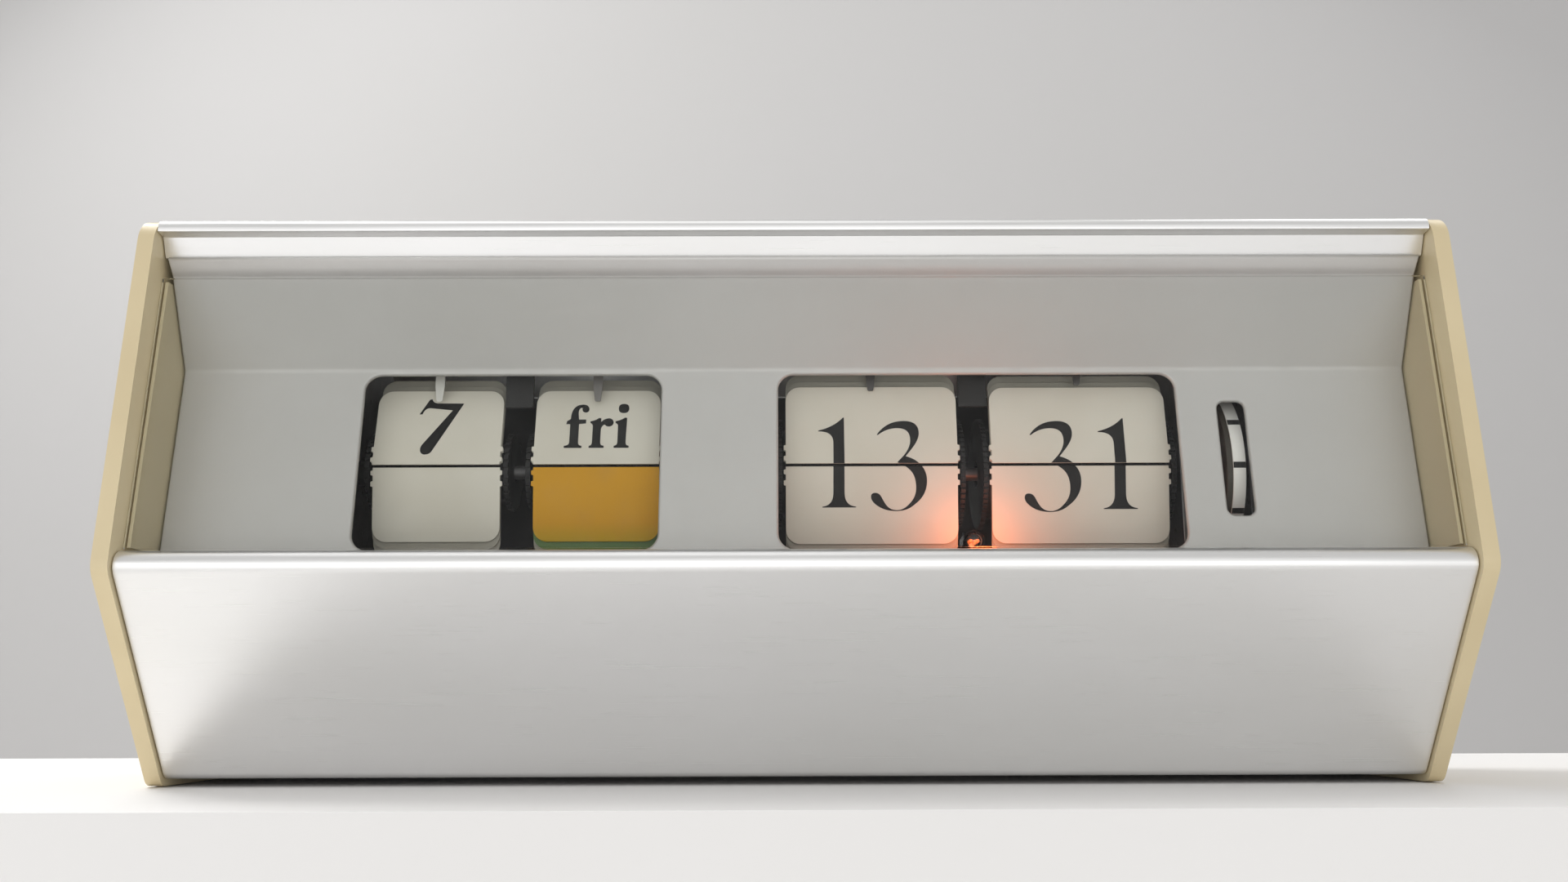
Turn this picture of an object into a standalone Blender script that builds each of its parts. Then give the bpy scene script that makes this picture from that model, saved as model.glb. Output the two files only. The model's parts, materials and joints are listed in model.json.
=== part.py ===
"""Flip number clock: date, day, hour and minute cards in an aluminium case.

The front faces -Y, X runs along the case and Z is up. The origin is at the
middle of the footprint. Lengths are in millimetres until they reach Blender.
"""
import math

import bmesh
import bpy

MM = 0.001
GAP = 0.3

# Case
CAP_OUTER_X = 134.6
CAP_INNER_X = 131.3
SLEEVE_X = CAP_INNER_X - GAP
WALL = 2.0
CAP_CORNERS = ((-41.3, 115.8), (-48.4, 42.1), (-17.4, 0.0), (48.6, 0.0), (45.2, 113.2))
CAP_RADII = (6.0, 5.0, 3.5, 12.0, 16.0)
LIP_Z = 46.0
LIP_RADIUS = 3.0
LOWER_PATH = ((-32.3, LIP_Z), (-49.9, LIP_Z), (-17.2, 1.5), (47.7, 1.5), (47.0, 24.0))
LOWER_RADII = (0.0, LIP_RADIUS, 3.0, 11.0, 0.0)
BACK_LEAN = math.atan(3.4 / 110.8)
COVER_LOW_Z = 24.4
COVER_HIGH_Z = 95.9
PANEL_X = 130.0
PANEL_PATH = ((-38.0, 107.3), (-35.2, 104.3), (-26.0, 86.3), (-30.9, 44.0))
PANEL_RADII = (0.0, 1.6, 2.2, 0.0)
PANEL_THICKNESS = 1.2
PANE_BOTTOM = (-43.0, 46.4)
PANE_TOP = (-36.8, 103.4)
PANE_HALF = 0.4
WINDOW_LOW_Z = 47.5
WINDOW_HIGH_Z = 85.3
WINDOW_RADIUS = 3.4
CALENDAR_WINDOW = (-91.2, -28.3)
TIME_WINDOW = (-3.5, 80.8)
SLOT_X = (89.9, 95.1)
SLOT_Z = (54.8, 79.3)

# Cards
SPLIT_Z = 66.4
HINGE_Y = -22.0
LEAF_LENGTH = 17.4
LEAF_THICKNESS = 0.5
LEAF_CORNER = 3.0
PACK_STEP_OUT = 1.65
LOWER_LEAN = math.radians(8.0)
UNITS = {
    "date": (-90.2, -63.0, math.radians(11.0)),
    "day": (-55.9, -29.0, math.radians(11.0)),
    "hour": (-1.9, 34.9, math.radians(5.0)),
    "minute": (42.2, 80.1, math.radians(7.0)),
}

# Movement
TIME_AXIS = (HINGE_Y + 12.7, SPLIT_Z)
CALENDAR_AXIS = (HINGE_Y + 9.0, SPLIT_Z)
SET_AXIS = (TIME_AXIS[0], SPLIT_Z - 22.0)
SECONDS_AXIS = (TIME_AXIS[0] + 3.0, SPLIT_Z)
MOTOR_AXIS = (SECONDS_AXIS[0] + 8.0, SPLIT_Z)
SHAFT = 1.5
BORE = SHAFT + GAP
CHASSIS_TOP = 5.5
PLATE_LOW_Z = CHASSIS_TOP + GAP
RAIL_Y = (HINGE_Y + 1.3, HINGE_Y + 2.5)
PLATE_FRONT_Y = RAIL_Y[1] + GAP
PINION_X = (-9.2, -8.0)
HOUR_WHEEL_X = (-6.4, -5.2)
PLANE_1 = (84.9, 85.9)
PLANE_2 = (86.3, 87.2)
PLANE_3 = (87.6, 88.5)
GEARBOX_PLATE_X = (89.2, 90.2)
MOTOR_PLATE_X = (98.0, 99.2)
KNOB_END_X = 143.0

# Gears: teeth and modules
TRAIN_MODULE = 0.5
SET_TEETH = 56
MINUTE_TEETH = 32
THIRD_TEETH = 45
THIRD_PINION = 10
SECOND_TEETH = 50
SECOND_PINION = 12
SECONDS_PINION = 10
CANNON_TEETH = 10
MOTION_TEETH = 50
MOTION_PINION = 10
HOUR_TEETH = 48
MOTION_DISTANCE = 17.0
CANNON_MODULE = 2 * MOTION_DISTANCE / (CANNON_TEETH + MOTION_TEETH)
HOUR_MODULE = 2 * MOTION_DISTANCE / (MOTION_PINION + HOUR_TEETH)

# Tooth form: radius in modules from the pitch circle, half width in pitches
WHEEL_TOOTH = ((-1.15, 0.25), (0.75, 0.08))
PINION_TOOTH = ((-1.15, 0.18), (0.6, 0.09))

ALONG_X = (math.radians(90), 0.0, math.radians(90))
ALONG_Y = (math.radians(90), 0.0, 0.0)
ALONG_Z = (0.0, 0.0, 0.0)

COLOURS = {
    "aluminium": ((0.62, 0.62, 0.63), 0.38, 0.9),
    "cream_plastic": ((0.78, 0.72, 0.60), 0.45, 0.0),
    "taupe_plastic": ((0.50, 0.45, 0.38), 0.6, 0.0),
    "panel_silver": ((0.45, 0.47, 0.50), 0.45, 0.5),
    "acrylic": ((0.95, 0.97, 0.98), 0.05, 0.0),
    "dark_plastic": ((0.06, 0.06, 0.065), 0.5, 0.0),
    "card": ((0.86, 0.84, 0.76), 0.5, 0.0),
    "steel": ((0.55, 0.55, 0.56), 0.35, 1.0),
    "brass": ((0.72, 0.55, 0.25), 0.3, 1.0),
    "seconds_white": ((0.85, 0.84, 0.80), 0.5, 0.0),
    "lamp": ((1.0, 0.45, 0.15), 0.2, 0.0),
}


# ---- Scene and materials ----

def clear_scene():
    for old in list(bpy.data.objects):
        bpy.data.objects.remove(old, do_unlink=True)


def new_collection(name):
    collection = bpy.data.collections.new(name)
    bpy.context.scene.collection.children.link(collection)
    return collection


def make_material(name):
    colour, roughness, metallic = COLOURS[name]
    material = bpy.data.materials.new(name)
    material.use_nodes = True
    shader = material.node_tree.nodes["Principled BSDF"]
    shader.inputs["Base Color"].default_value = (*colour, 1.0)
    shader.inputs["Roughness"].default_value = roughness
    shader.inputs["Metallic"].default_value = metallic
    return material


clear_scene()
PARTS = new_collection("flip_number_clock")
CUTTERS = new_collection("cutters")
MATERIALS = {name: make_material(name) for name in COLOURS}


def place(name, data, finish, collection=None):
    """An object in the parts collection, or in the cutters' one, with a finish."""
    obj = bpy.data.objects.new(name, data)
    (collection or PARTS).objects.link(obj)
    if finish:
        data.materials.append(MATERIALS[finish])
    if collection is CUTTERS:
        obj.hide_render = True
        obj.display_type = "WIRE"
    return obj


# ---- Outlines ----

def rounded(corners, radii, closed=True, steps=6):
    """A polygon or open path with each corner turned into an arc of its radius."""
    points = []
    count = len(corners)
    for i, corner in enumerate(corners):
        radius = radii[i] if isinstance(radii, (tuple, list)) else radii
        if radius <= 0 or (not closed and i in (0, count - 1)):
            points.append(corner)
            continue
        before = corners[i - 1]
        after = corners[(i + 1) % count]
        a = math.atan2(before[1] - corner[1], before[0] - corner[0])
        b = math.atan2(after[1] - corner[1], after[0] - corner[0])
        half = ((b - a + math.pi) % (2 * math.pi) - math.pi) / 2
        reach = radius / abs(math.sin(half))
        middle = (corner[0] + reach * math.cos(a + half), corner[1] + reach * math.sin(a + half))
        turn = math.pi / 2 - abs(half)
        start = a + half + math.pi
        side = -1 if half > 0 else 1
        for k in range(steps + 1):
            angle = start - side * turn + side * 2 * turn * k / steps
            points.append((middle[0] + radius * math.cos(angle),
                           middle[1] + radius * math.sin(angle)))
    return points


def offset_path(path, distance):
    """An open path moved sideways, to the left of its direction, with mitred corners."""
    normals = []
    for (ax, ay), (bx, by) in zip(path, path[1:]):
        length = math.hypot(bx - ax, by - ay)
        normals.append(((ay - by) / length, (bx - ax) / length))
    moved = []
    for i, (x, y) in enumerate(path):
        n0 = normals[max(i - 1, 0)]
        n1 = normals[min(i, len(normals) - 1)]
        scale = distance / (1 + n0[0] * n1[0] + n0[1] * n1[1])
        moved.append((x + (n0[0] + n1[0]) * scale, y + (n0[1] + n1[1]) * scale))
    return moved


def band(path, radii, thickness):
    """A bent strip's outline: the path's outer side, and its left side moved in."""
    inner = [max(radius - thickness, 0.0) for radius in radii]
    outside = rounded(path, radii, closed=False)
    inside = rounded(offset_path(path, thickness), inner, closed=False)
    return outside + inside[::-1]


def box(a0, a1, b0, b1, radius=0.0, steps=4):
    corners = ((a0, b0), (a1, b0), (a1, b1), (a0, b1))
    return rounded(corners, radius, steps=steps) if radius else list(corners)


def circle(a, b, radius, count=20):
    turn = 2 * math.pi / count
    return [(a + radius * math.cos(i * turn), b + radius * math.sin(i * turn))
            for i in range(count)]


def gear(centre, teeth, module, tooth, phase):
    """Teeth at their places round a centre, the first one's middle at the phase."""
    pitch = 2 * math.pi / teeth
    flank = [(r, -w) for r, w in tooth] + [(r, w) for r, w in reversed(tooth)]
    points = []
    for i in range(teeth):
        for reach, width in flank:
            radius = teeth * module / 2 + reach * module
            angle = phase + (i + width) * pitch
            points.append((centre[0] + radius * math.cos(angle),
                           centre[1] + radius * math.sin(angle)))
    return points


def meshed_phase(driver, driver_teeth, driver_phase, driven, driven_teeth):
    """The phase that puts a gap of the driven gear opposite a tooth of its driver."""
    line = math.atan2(driven[1] - driver[1], driven[0] - driver[0])
    lead = (driver_phase - line) * driver_teeth / driven_teeth
    return line + math.pi - lead - math.pi / driven_teeth


# ---- Solids ----

def plate(name, outlines, low, high, finish, rotation=ALONG_X):
    """A flat piece: its outline and holes, from low to high along its normal."""
    curve = bpy.data.curves.new(name, "CURVE")
    curve.dimensions = "2D"
    curve.fill_mode = "BOTH"
    curve.extrude = (high - low) / 2 * MM
    for outline in outlines:
        spline = curve.splines.new("POLY")
        spline.points.add(len(outline) - 1)
        for point, (a, b) in zip(spline.points, outline):
            point.co = (a * MM, b * MM, 0.0, 1.0)
        spline.use_cyclic_u = True
    obj = place(name, curve, finish)
    obj.rotation_euler = rotation
    middle = (low + high) / 2 * MM
    index = {ALONG_X: 0, ALONG_Y: 1, ALONG_Z: 2}.get(rotation, 1)
    obj.location[index] = middle
    return obj


def as_mesh(obj, collection=None):
    """The same piece as a mesh with its caps welded."""
    bpy.context.view_layer.update()
    name = obj.name
    finish = obj.data.materials[0].name if obj.data.materials else None
    graph = bpy.context.evaluated_depsgraph_get()
    mesh = bpy.data.meshes.new_from_object(obj.evaluated_get(graph))
    work = bmesh.new()
    work.from_mesh(mesh)
    bmesh.ops.remove_doubles(work, verts=work.verts, dist=1e-6)
    work.to_mesh(mesh)
    work.free()
    mesh.materials.clear()
    matrix = obj.matrix_world.copy()
    bpy.data.objects.remove(obj, do_unlink=True)
    solid = place(name, mesh, finish, collection)
    solid.name = name
    solid.matrix_world = matrix
    return solid


def join(base, *others):
    """Other solids joined to a base solid by Boolean unions."""
    for other in others:
        modifier = base.modifiers.new(other.name, "BOOLEAN")
        modifier.operation = "UNION"
        modifier.object = as_mesh(other, CUTTERS)
    return base


def cut(base, *others):
    for other in others:
        modifier = base.modifiers.new(other.name, "BOOLEAN")
        modifier.operation = "DIFFERENCE"
        modifier.object = as_mesh(other, CUTTERS)
    return base


def soften(obj, width, segments=2):
    """Rounded edges wherever two faces meet at a marked angle."""
    bevel = obj.modifiers.new("soft_edges", "BEVEL")
    bevel.width = width * MM
    bevel.segments = segments
    bevel.limit_method = "ANGLE"
    bevel.angle_limit = math.radians(50)
    return obj


def turned(name, profile, centre, finish, steps=32, axis="X", closed=False):
    """A turned piece. The profile is (radius, place) pairs, its far end first."""
    mesh = bpy.data.meshes.new(name)
    points = [(radius * MM, 0.0, along * MM) for radius, along in profile]
    edges = [(i, i + 1) for i in range(len(points) - 1)]
    if closed:
        edges.append((len(points) - 1, 0))
    mesh.from_pydata(points, edges, [])
    obj = place(name, mesh, finish)
    screw = obj.modifiers.new("turn", "SCREW")
    screw.axis = "Z"
    screw.steps = steps
    screw.render_steps = steps
    screw.use_merge_vertices = True
    screw.merge_threshold = 0.00001
    screw.use_smooth_shade = True
    if axis == "X":
        obj.rotation_euler = (0.0, math.radians(90), 0.0)
        obj.location = (0.0, centre[0] * MM, centre[1] * MM)
    else:
        obj.rotation_euler = (math.radians(-90), 0.0, 0.0)
        obj.location = (centre[0] * MM, 0.0, centre[1] * MM)
    return obj


def rod(name, x0, x1, centre, radius, finish, steps=20):
    chamfer = min(0.3, radius / 3)
    profile = ((0, x1), (radius - chamfer, x1), (radius, x1 - chamfer),
               (radius, x0 + chamfer), (radius - chamfer, x0), (0, x0))
    return turned(name, profile, centre, finish, steps)


def tube_profile(outer, bore):
    """A closed turned profile: the outer side from far to near, then the bore back."""
    return (*outer, (bore, outer[-1][1]), (bore, outer[0][1]))


# ---- Case ----

def back_y(z):
    return LOWER_PATH[3][0] - (z - LOWER_PATH[3][1]) * math.tan(BACK_LEAN)


def build_end_caps():
    outline = rounded(CAP_CORNERS, CAP_RADII, steps=8)
    holes = {"left": circle(*CALENDAR_AXIS, 3.4), "right": circle(*SET_AXIS, BORE)}
    for side, sign in (("left", -1), ("right", 1)):
        low, high = sorted((sign * CAP_INNER_X, sign * CAP_OUTER_X))
        cap = plate(f"{side}_end_cap", [outline, holes[side]], low, high, "cream_plastic")
        soften(as_mesh(cap), 1.1, 3)


def build_shells():
    lower = band(LOWER_PATH, LOWER_RADII, WALL)
    plate("lower_shell", [lower], -SLEEVE_X, SLEEVE_X, "aluminium")
    high_z = COVER_HIGH_Z + GAP
    corner = (back_y(112.3), 112.3)
    outer = ((-36.5, 107.9), (-38.4, 111.9), (-41.0, 112.2), (-41.2, 115.0), corner,
             (back_y(high_z), high_z))
    inner = ((back_y(high_z) - WALL, high_z), (corner[0] - WALL, corner[1] - WALL),
             (-34.6, 112.7), (-34.9, 107.9))
    radii = (0.3, 0.3, 0.3, 1.9, 15.0, 0.0, 0.0, 13.0, 0.5, 0.3)
    plate("top_shell", [rounded(outer + inner, radii)], -SLEEVE_X, SLEEVE_X, "aluminium")


def build_liners():
    outline = ((-35.8, 103.0), (-42.0, 46.8), (-29.4, 46.8), (-24.0, 86.3), (-32.6, 103.0))
    for side, sign in (("left", -1), ("right", 1)):
        low, high = sorted((sign * (PANEL_X + GAP), sign * SLEEVE_X))
        plate(f"{side}_side_liner", [outline], low, high, "taupe_plastic")


def build_front():
    panel = as_mesh(plate("face_panel", [band(PANEL_PATH, PANEL_RADII, -PANEL_THICKNESS)],
                          -PANEL_X, PANEL_X, "panel_silver"))
    openings = (
        ("calendar_opening", CALENDAR_WINDOW, (WINDOW_LOW_Z, WINDOW_HIGH_Z), WINDOW_RADIUS),
        ("time_opening", TIME_WINDOW, (WINDOW_LOW_Z, WINDOW_HIGH_Z), WINDOW_RADIUS),
        ("seconds_opening", SLOT_X, SLOT_Z, 2.4),
    )
    for name, (x0, x1), (z0, z1), radius in openings:
        outline = box(x0, x1, z0, z1, radius, steps=8)
        cut(panel, plate(name, [outline], -50.0, -10.0, None, ALONG_Y))
    (y0, z0), (y1, z1) = PANE_BOTTOM, PANE_TOP
    pane = ((y0 - PANE_HALF, z0), (y0 + PANE_HALF, z0), (y1 + PANE_HALF, z1),
            (y1 - PANE_HALF, z1))
    plate("clear_window", [pane], -SLEEVE_X, SLEEVE_X, "acrylic")


def build_rear():
    """The rear cover is drawn flat about its own middle and leans with the back."""
    middle_z = (COVER_LOW_Z + COVER_HIGH_Z) / 2
    half = (COVER_HIGH_Z - COVER_LOW_Z) / 2
    thickness = 2.4
    outlines = [box(-SLEEVE_X, SLEEVE_X, -half, half, 1.0)]
    slots = 4
    for group in (-1, 1):
        for i in range(slots):
            x = group * 20.0 + (i - (slots - 1) / 2) * 8.0
            outlines.append(box(x - 1.3, x + 1.3, -9.0, 20.0, 1.2, steps=2))
    gland_x = 100.0
    gland_drop = -22.0
    outlines.append(circle(gland_x, gland_drop, 5.3))
    screws = [(sx * 122.0, sz * (half - 6.0)) for sx in (-1, 1) for sz in (-1, 1)]
    for x, along in screws:
        outlines.append(circle(x, along, 1.8, 16))
    lean = (math.radians(90) + BACK_LEAN, 0.0, 0.0)
    cover = plate("rear_cover", outlines, -thickness / 2, thickness / 2, "dark_plastic", lean)
    centre_y = back_y(middle_z) - thickness / 2
    cover.location = (0.0, centre_y * MM, middle_z * MM)

    def on_cover(x, along, name, profile, finish, closed=False):
        """A turned piece square to the cover, its profile measured from the middle."""
        piece = turned(name, profile, (0.0, 0.0), finish, 20, "Y", closed)
        piece.rotation_euler = (math.radians(-90) + BACK_LEAN, 0.0, 0.0)
        piece.location = (x * MM, (centre_y - along * math.sin(BACK_LEAN)) * MM,
                          (middle_z + along * math.cos(BACK_LEAN)) * MM)

    face = thickness / 2
    for i, (x, along) in enumerate(screws):
        profile = ((0, face + 0.9), (2.2, face + 0.8), (2.6, face + GAP), (1.4, face + GAP),
                   (1.4, -8.0), (0, -8.6))
        on_cover(x, along, f"rear_screw_{i + 1}", profile, "steel")
    outer = ((4.6, face + 1.0), (6.4, face + 0.8), (6.4, face + GAP), (5.0, face + GAP),
             (5.0, -face - GAP), (6.2, -face - GAP), (5.2, -face - 2.4))
    on_cover(gland_x, gland_drop, "cable_gland", tube_profile(outer, 3.2), "dark_plastic", True)


# ---- Frame of the movement ----

def frame_plate(name, low, high, holes, back=30.0, finish="steel"):
    front = PLATE_FRONT_Y
    corners = ((front + 6.0, PLATE_LOW_Z), (back, PLATE_LOW_Z), (back, 70.0), (6.0, 93.0),
               (front, 93.0), (front, PLATE_LOW_Z + 8.0))
    outlines = [rounded(corners, (0.0, 0.0, 5.0, 4.0, 1.0, 1.0), steps=4)]
    outlines += [circle(*centre, radius) for centre, radius in holes]
    plate(name, outlines, low, high, finish)


def train_centres():
    """The third and second arbors stand between the minute and seconds axes."""
    third_reach = TRAIN_MODULE * (MINUTE_TEETH + THIRD_PINION) / 2
    second_reach = TRAIN_MODULE * (THIRD_TEETH + SECOND_PINION) / 2
    last_reach = TRAIN_MODULE * (SECOND_TEETH + SECONDS_PINION) / 2
    rise = math.radians(60)
    third = (TIME_AXIS[0] + third_reach * math.cos(rise),
             TIME_AXIS[1] + third_reach * math.sin(rise))
    dy = SECONDS_AXIS[0] - third[0]
    dz = SECONDS_AXIS[1] - third[1]
    span = math.hypot(dy, dz)
    along = (second_reach ** 2 - last_reach ** 2 + span ** 2) / (2 * span)
    aside = math.sqrt(second_reach ** 2 - along ** 2)
    second = (third[0] + (dy * along - dz * aside) / span,
              third[1] + (dz * along + dy * aside) / span)
    return third, second


THIRD_AXIS, SECOND_AXIS = train_centres()
MOTION_RISE = math.radians(45)
MOTION_AXIS = (TIME_AXIS[0] + MOTION_DISTANCE * math.cos(MOTION_RISE),
               TIME_AXIS[1] + MOTION_DISTANCE * math.sin(MOTION_RISE))


def build_frame():
    floor = [box(-125.0, 125.0, -12.0, 36.0, 3.0)]
    for x in (-109.0, -60.0, 40.0, 110.0):
        floor.append(circle(x, 12.0, 8.0, 16))
    plate("chassis_plate", floor, CHASSIS_TOP - 1.5, CHASSIS_TOP, "steel", ALONG_Z)
    frame_plate("calendar_left_plate", -96.2, -95.0, [(CALENDAR_AXIS, 3.3)])
    frame_plate("calendar_right_plate", -24.6, -23.4, [(CALENDAR_AXIS, BORE)])
    frame_plate("time_left_plate", -11.5, -10.3, [(TIME_AXIS, BORE), (MOTION_AXIS, 1.3)])
    pivots = [(THIRD_AXIS, 1.1), (SECOND_AXIS, 1.1), (SET_AXIS, BORE)]
    frame_plate("time_right_plate", 83.2, 84.4, [(TIME_AXIS, BORE)] + pivots)
    frame_plate("gearbox_plate", *GEARBOX_PLATE_X, [(SECONDS_AXIS, BORE)] + pivots)
    frame_plate("motor_plate", *MOTOR_PLATE_X, [(SECONDS_AXIS, BORE), (SET_AXIS, BORE)], 34.0)


def build_rails():
    """Each rail crosses its unit above the cards, with a dark tab between them."""
    low, high = 86.7, 91.0
    tab = 79.4
    for name, x0, x1, left, right in (("calendar", -96.2, -23.4, "date", "day"),
                                      ("time", -11.5, 84.4, "hour", "minute")):
        a = UNITS[left][1] + 0.6
        b = UNITS[right][0] - 0.6
        outline = ((x0, low), (a, low), (a, tab), (b, tab), (b, low), (x1, low), (x1, high),
                   (x0, high))
        plate(f"{name}_finger_rail", [outline], *RAIL_Y, "dark_plastic", ALONG_Y)
    for unit, (x0, x1, _) in UNITS.items():
        middle = (x0 + x1) / 2
        outline = ((middle - 1.0, 90.0), (middle - 1.0, 84.0), (middle - 0.6, 80.6),
                   (middle + 0.6, 80.6), (middle + 1.0, 84.0), (middle + 1.0, 90.0))
        front = RAIL_Y[0] - GAP
        plate(f"{unit}_finger", [outline], front - 0.4, front, "dark_plastic", ALONG_Y)


# ---- Cards ----

def leaning(lean, along, back, up=1):
    """A point beside the split line: along a card that leans back, then behind it."""
    return (HINGE_Y + along * math.sin(lean) + back * math.cos(lean),
            SPLIT_Z + up * (along * math.cos(lean) - back * math.sin(lean)))


def build_cards():
    """A falling leaf in front of an upper pack, and a lower pack, in each unit."""
    half = LEAF_THICKNESS / 2
    pack_front = half + 0.35
    step = 0.5
    for unit, (x0, x1, lean) in UNITS.items():
        for level, angle, up in (("upper", lean, 1), ("lower", LOWER_LEAN, -1)):
            outline = [leaning(angle, 0.8, pack_front, up)]
            for leaf in range(3):
                reach = LEAF_LENGTH + leaf * PACK_STEP_OUT
                back = pack_front + leaf * step
                outline.append(leaning(angle, reach, back, up))
                outline.append(leaning(angle, reach, back + step, up))
            outline.append(leaning(angle, 0.8, pack_front + 3 * step, up))
            plate(f"{unit}_{level}_leaves", [outline], x0, x1, "card")
        middle = (x0 + x1) / 2
        width = (x1 - x0) / 2
        notch = 1.4
        notch_low = LEAF_LENGTH - 3.6
        corners = ((-width, 0.3), (width, 0.3), (width, LEAF_LENGTH), (notch, LEAF_LENGTH),
                   (notch, notch_low), (-notch, notch_low), (-notch, LEAF_LENGTH),
                   (-width, LEAF_LENGTH))
        radii = (0.0, 0.0, LEAF_CORNER, 0.0, 0.0, 0.0, 0.0, LEAF_CORNER)
        tilt = (math.radians(90) - lean, 0.0, 0.0)
        leaf = plate(f"{unit}_falling_leaf", [rounded(corners, radii)], -half, half, "card",
                     tilt)
        leaf.location = (middle * MM, HINGE_Y * MM, SPLIT_Z * MM)


# ---- Drums and arbors ----

def drum(name, unit, centre, flange, pipe_left=None, pipe=3.0):
    """A hub between two flanges that stand just outside the cards' ends."""
    x0, x1, _ = UNITS[unit]
    left, right = x0 - 1.7, x1 + 1.7
    outer = [(pipe, right), (flange, right), (flange, right - 1.0), (5.0, right - 1.0),
             (5.0, left + 1.0), (flange, left + 1.0), (flange, left)]
    if pipe_left is not None:
        outer += [(pipe, left), (pipe, pipe_left)]
    turned(name, tube_profile(outer, BORE), centre, "dark_plastic", 36, closed=True)


def build_display():
    drum("hour_drum", "hour", TIME_AXIS, 12.3, HOUR_WHEEL_X[0] - 0.4)
    drum("minute_drum", "minute", TIME_AXIS, 12.3)
    drum("date_drum", "date", CALENDAR_AXIS, 8.6, -139.2)
    drum("day_drum", "day", CALENDAR_AXIS, 8.6)
    rod("main_axle", -11.2, PLANE_1[1], TIME_AXIS, SHAFT, "steel")
    rod("calendar_axle", -KNOB_END_X + 0.5, -22.6, CALENDAR_AXIS, SHAFT, "steel")


def wheel(name, centre, teeth, module, phase, span, bore, tooth=WHEEL_TOOTH):
    outlines = [gear(centre, teeth, module, tooth, phase)]
    if bore:
        outlines.append(circle(*centre, bore))
    return plate(name, outlines, *span, "brass")


def arbor(name, centre, x0, x1, radius, toothed):
    """A wheel with its pinion and shaft, as one solid."""
    pieces = []
    for i, (teeth, module, tooth, phase, span) in enumerate(toothed):
        label = name if i == 0 else f"{name}_pinion"
        pieces.append(wheel(label, centre, teeth, module, phase, span, None, tooth))
    shaft = rod(f"{name}_shaft", x0, x1, centre, radius, "brass", 16)
    join(as_mesh(pieces[0]), *pieces[1:], shaft)


def build_motion_work():
    cannon_phase = 0.0
    wheel("cannon_pinion", TIME_AXIS, CANNON_TEETH, CANNON_MODULE, cannon_phase, PINION_X,
          BORE, PINION_TOOTH)
    motion_phase = meshed_phase(TIME_AXIS, CANNON_TEETH, cannon_phase, MOTION_AXIS,
                                MOTION_TEETH)
    hour_phase = meshed_phase(MOTION_AXIS, MOTION_PINION, 0.0, TIME_AXIS, HOUR_TEETH)
    wheel("hour_wheel", TIME_AXIS, HOUR_TEETH, HOUR_MODULE, hour_phase, HOUR_WHEEL_X,
          3.0 + GAP)
    toothed = (
        (MOTION_TEETH, CANNON_MODULE, WHEEL_TOOTH, motion_phase, PINION_X),
        (MOTION_PINION, HOUR_MODULE, PINION_TOOTH, 0.0, (PINION_X[1] - 0.3, HOUR_WHEEL_X[1])),
    )
    arbor("motion_work_arbor", MOTION_AXIS, -11.2, HOUR_WHEEL_X[1] + 0.4, 1.0, toothed)


def build_train():
    """The minute wheel, two arbors and the seconds arbor, sixty to one in all."""
    minute_phase = 0.0
    wheel("minute_wheel", TIME_AXIS, MINUTE_TEETH, TRAIN_MODULE, minute_phase, PLANE_1, BORE)
    third_low = meshed_phase(TIME_AXIS, MINUTE_TEETH, minute_phase, THIRD_AXIS, THIRD_PINION)
    third_high = 0.0
    toothed = (
        (THIRD_TEETH, TRAIN_MODULE, WHEEL_TOOTH, third_high, PLANE_2),
        (THIRD_PINION, TRAIN_MODULE, PINION_TOOTH, third_low, (PLANE_1[0], PLANE_2[0] + 0.3)),
    )
    arbor("third_arbor", THIRD_AXIS, 83.5, 89.9, 0.8, toothed)
    second_low = meshed_phase(THIRD_AXIS, THIRD_TEETH, third_high, SECOND_AXIS, SECOND_PINION)
    second_high = 0.0
    toothed = (
        (SECOND_TEETH, TRAIN_MODULE, WHEEL_TOOTH, second_high, PLANE_3),
        (SECOND_PINION, TRAIN_MODULE, PINION_TOOTH, second_low, (PLANE_2[0], PLANE_3[0] + 0.3)),
    )
    arbor("second_arbor", SECOND_AXIS, 83.5, 89.9, 0.8, toothed)
    last = meshed_phase(SECOND_AXIS, SECOND_TEETH, second_high, SECONDS_AXIS, SECONDS_PINION)
    toothed = ((SECONDS_PINION, TRAIN_MODULE, PINION_TOOTH, last, PLANE_3),)
    arbor("seconds_arbor", SECONDS_AXIS, PLANE_3[0], 99.0, SHAFT, toothed)
    set_phase = meshed_phase(TIME_AXIS, MINUTE_TEETH, minute_phase, SET_AXIS, SET_TEETH)
    toothed = ((SET_TEETH, TRAIN_MODULE, WHEEL_TOOTH, set_phase, PLANE_1),)
    arbor("setting_arbor", SET_AXIS, 83.5, KNOB_END_X - 1.5, SHAFT, toothed)


def build_seconds():
    low, high = 91.3, 95.3
    rim = 19.0
    profile = ((3.4, low + 3.0), (3.4, low + 1.2), (rim - 1.2, low + 1.2), (rim - 1.2, high),
               (rim, high), (rim, low), (BORE, low), (BORE, low + 3.0))
    turned("seconds_drum", profile, SECONDS_AXIS, "seconds_white", 48, closed=True)
    can = 22.0
    x0, x1 = MOTOR_PLATE_X[1] + GAP, 121.0
    profile = ((0, x1), (can - 1.5, x1), (can, x1 - 1.5), (can, x0 + 1.0), (can - 1.0, x0),
               (0, x0))
    turned("synchronous_motor", profile, MOTOR_AXIS, "steel", 40)


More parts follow.
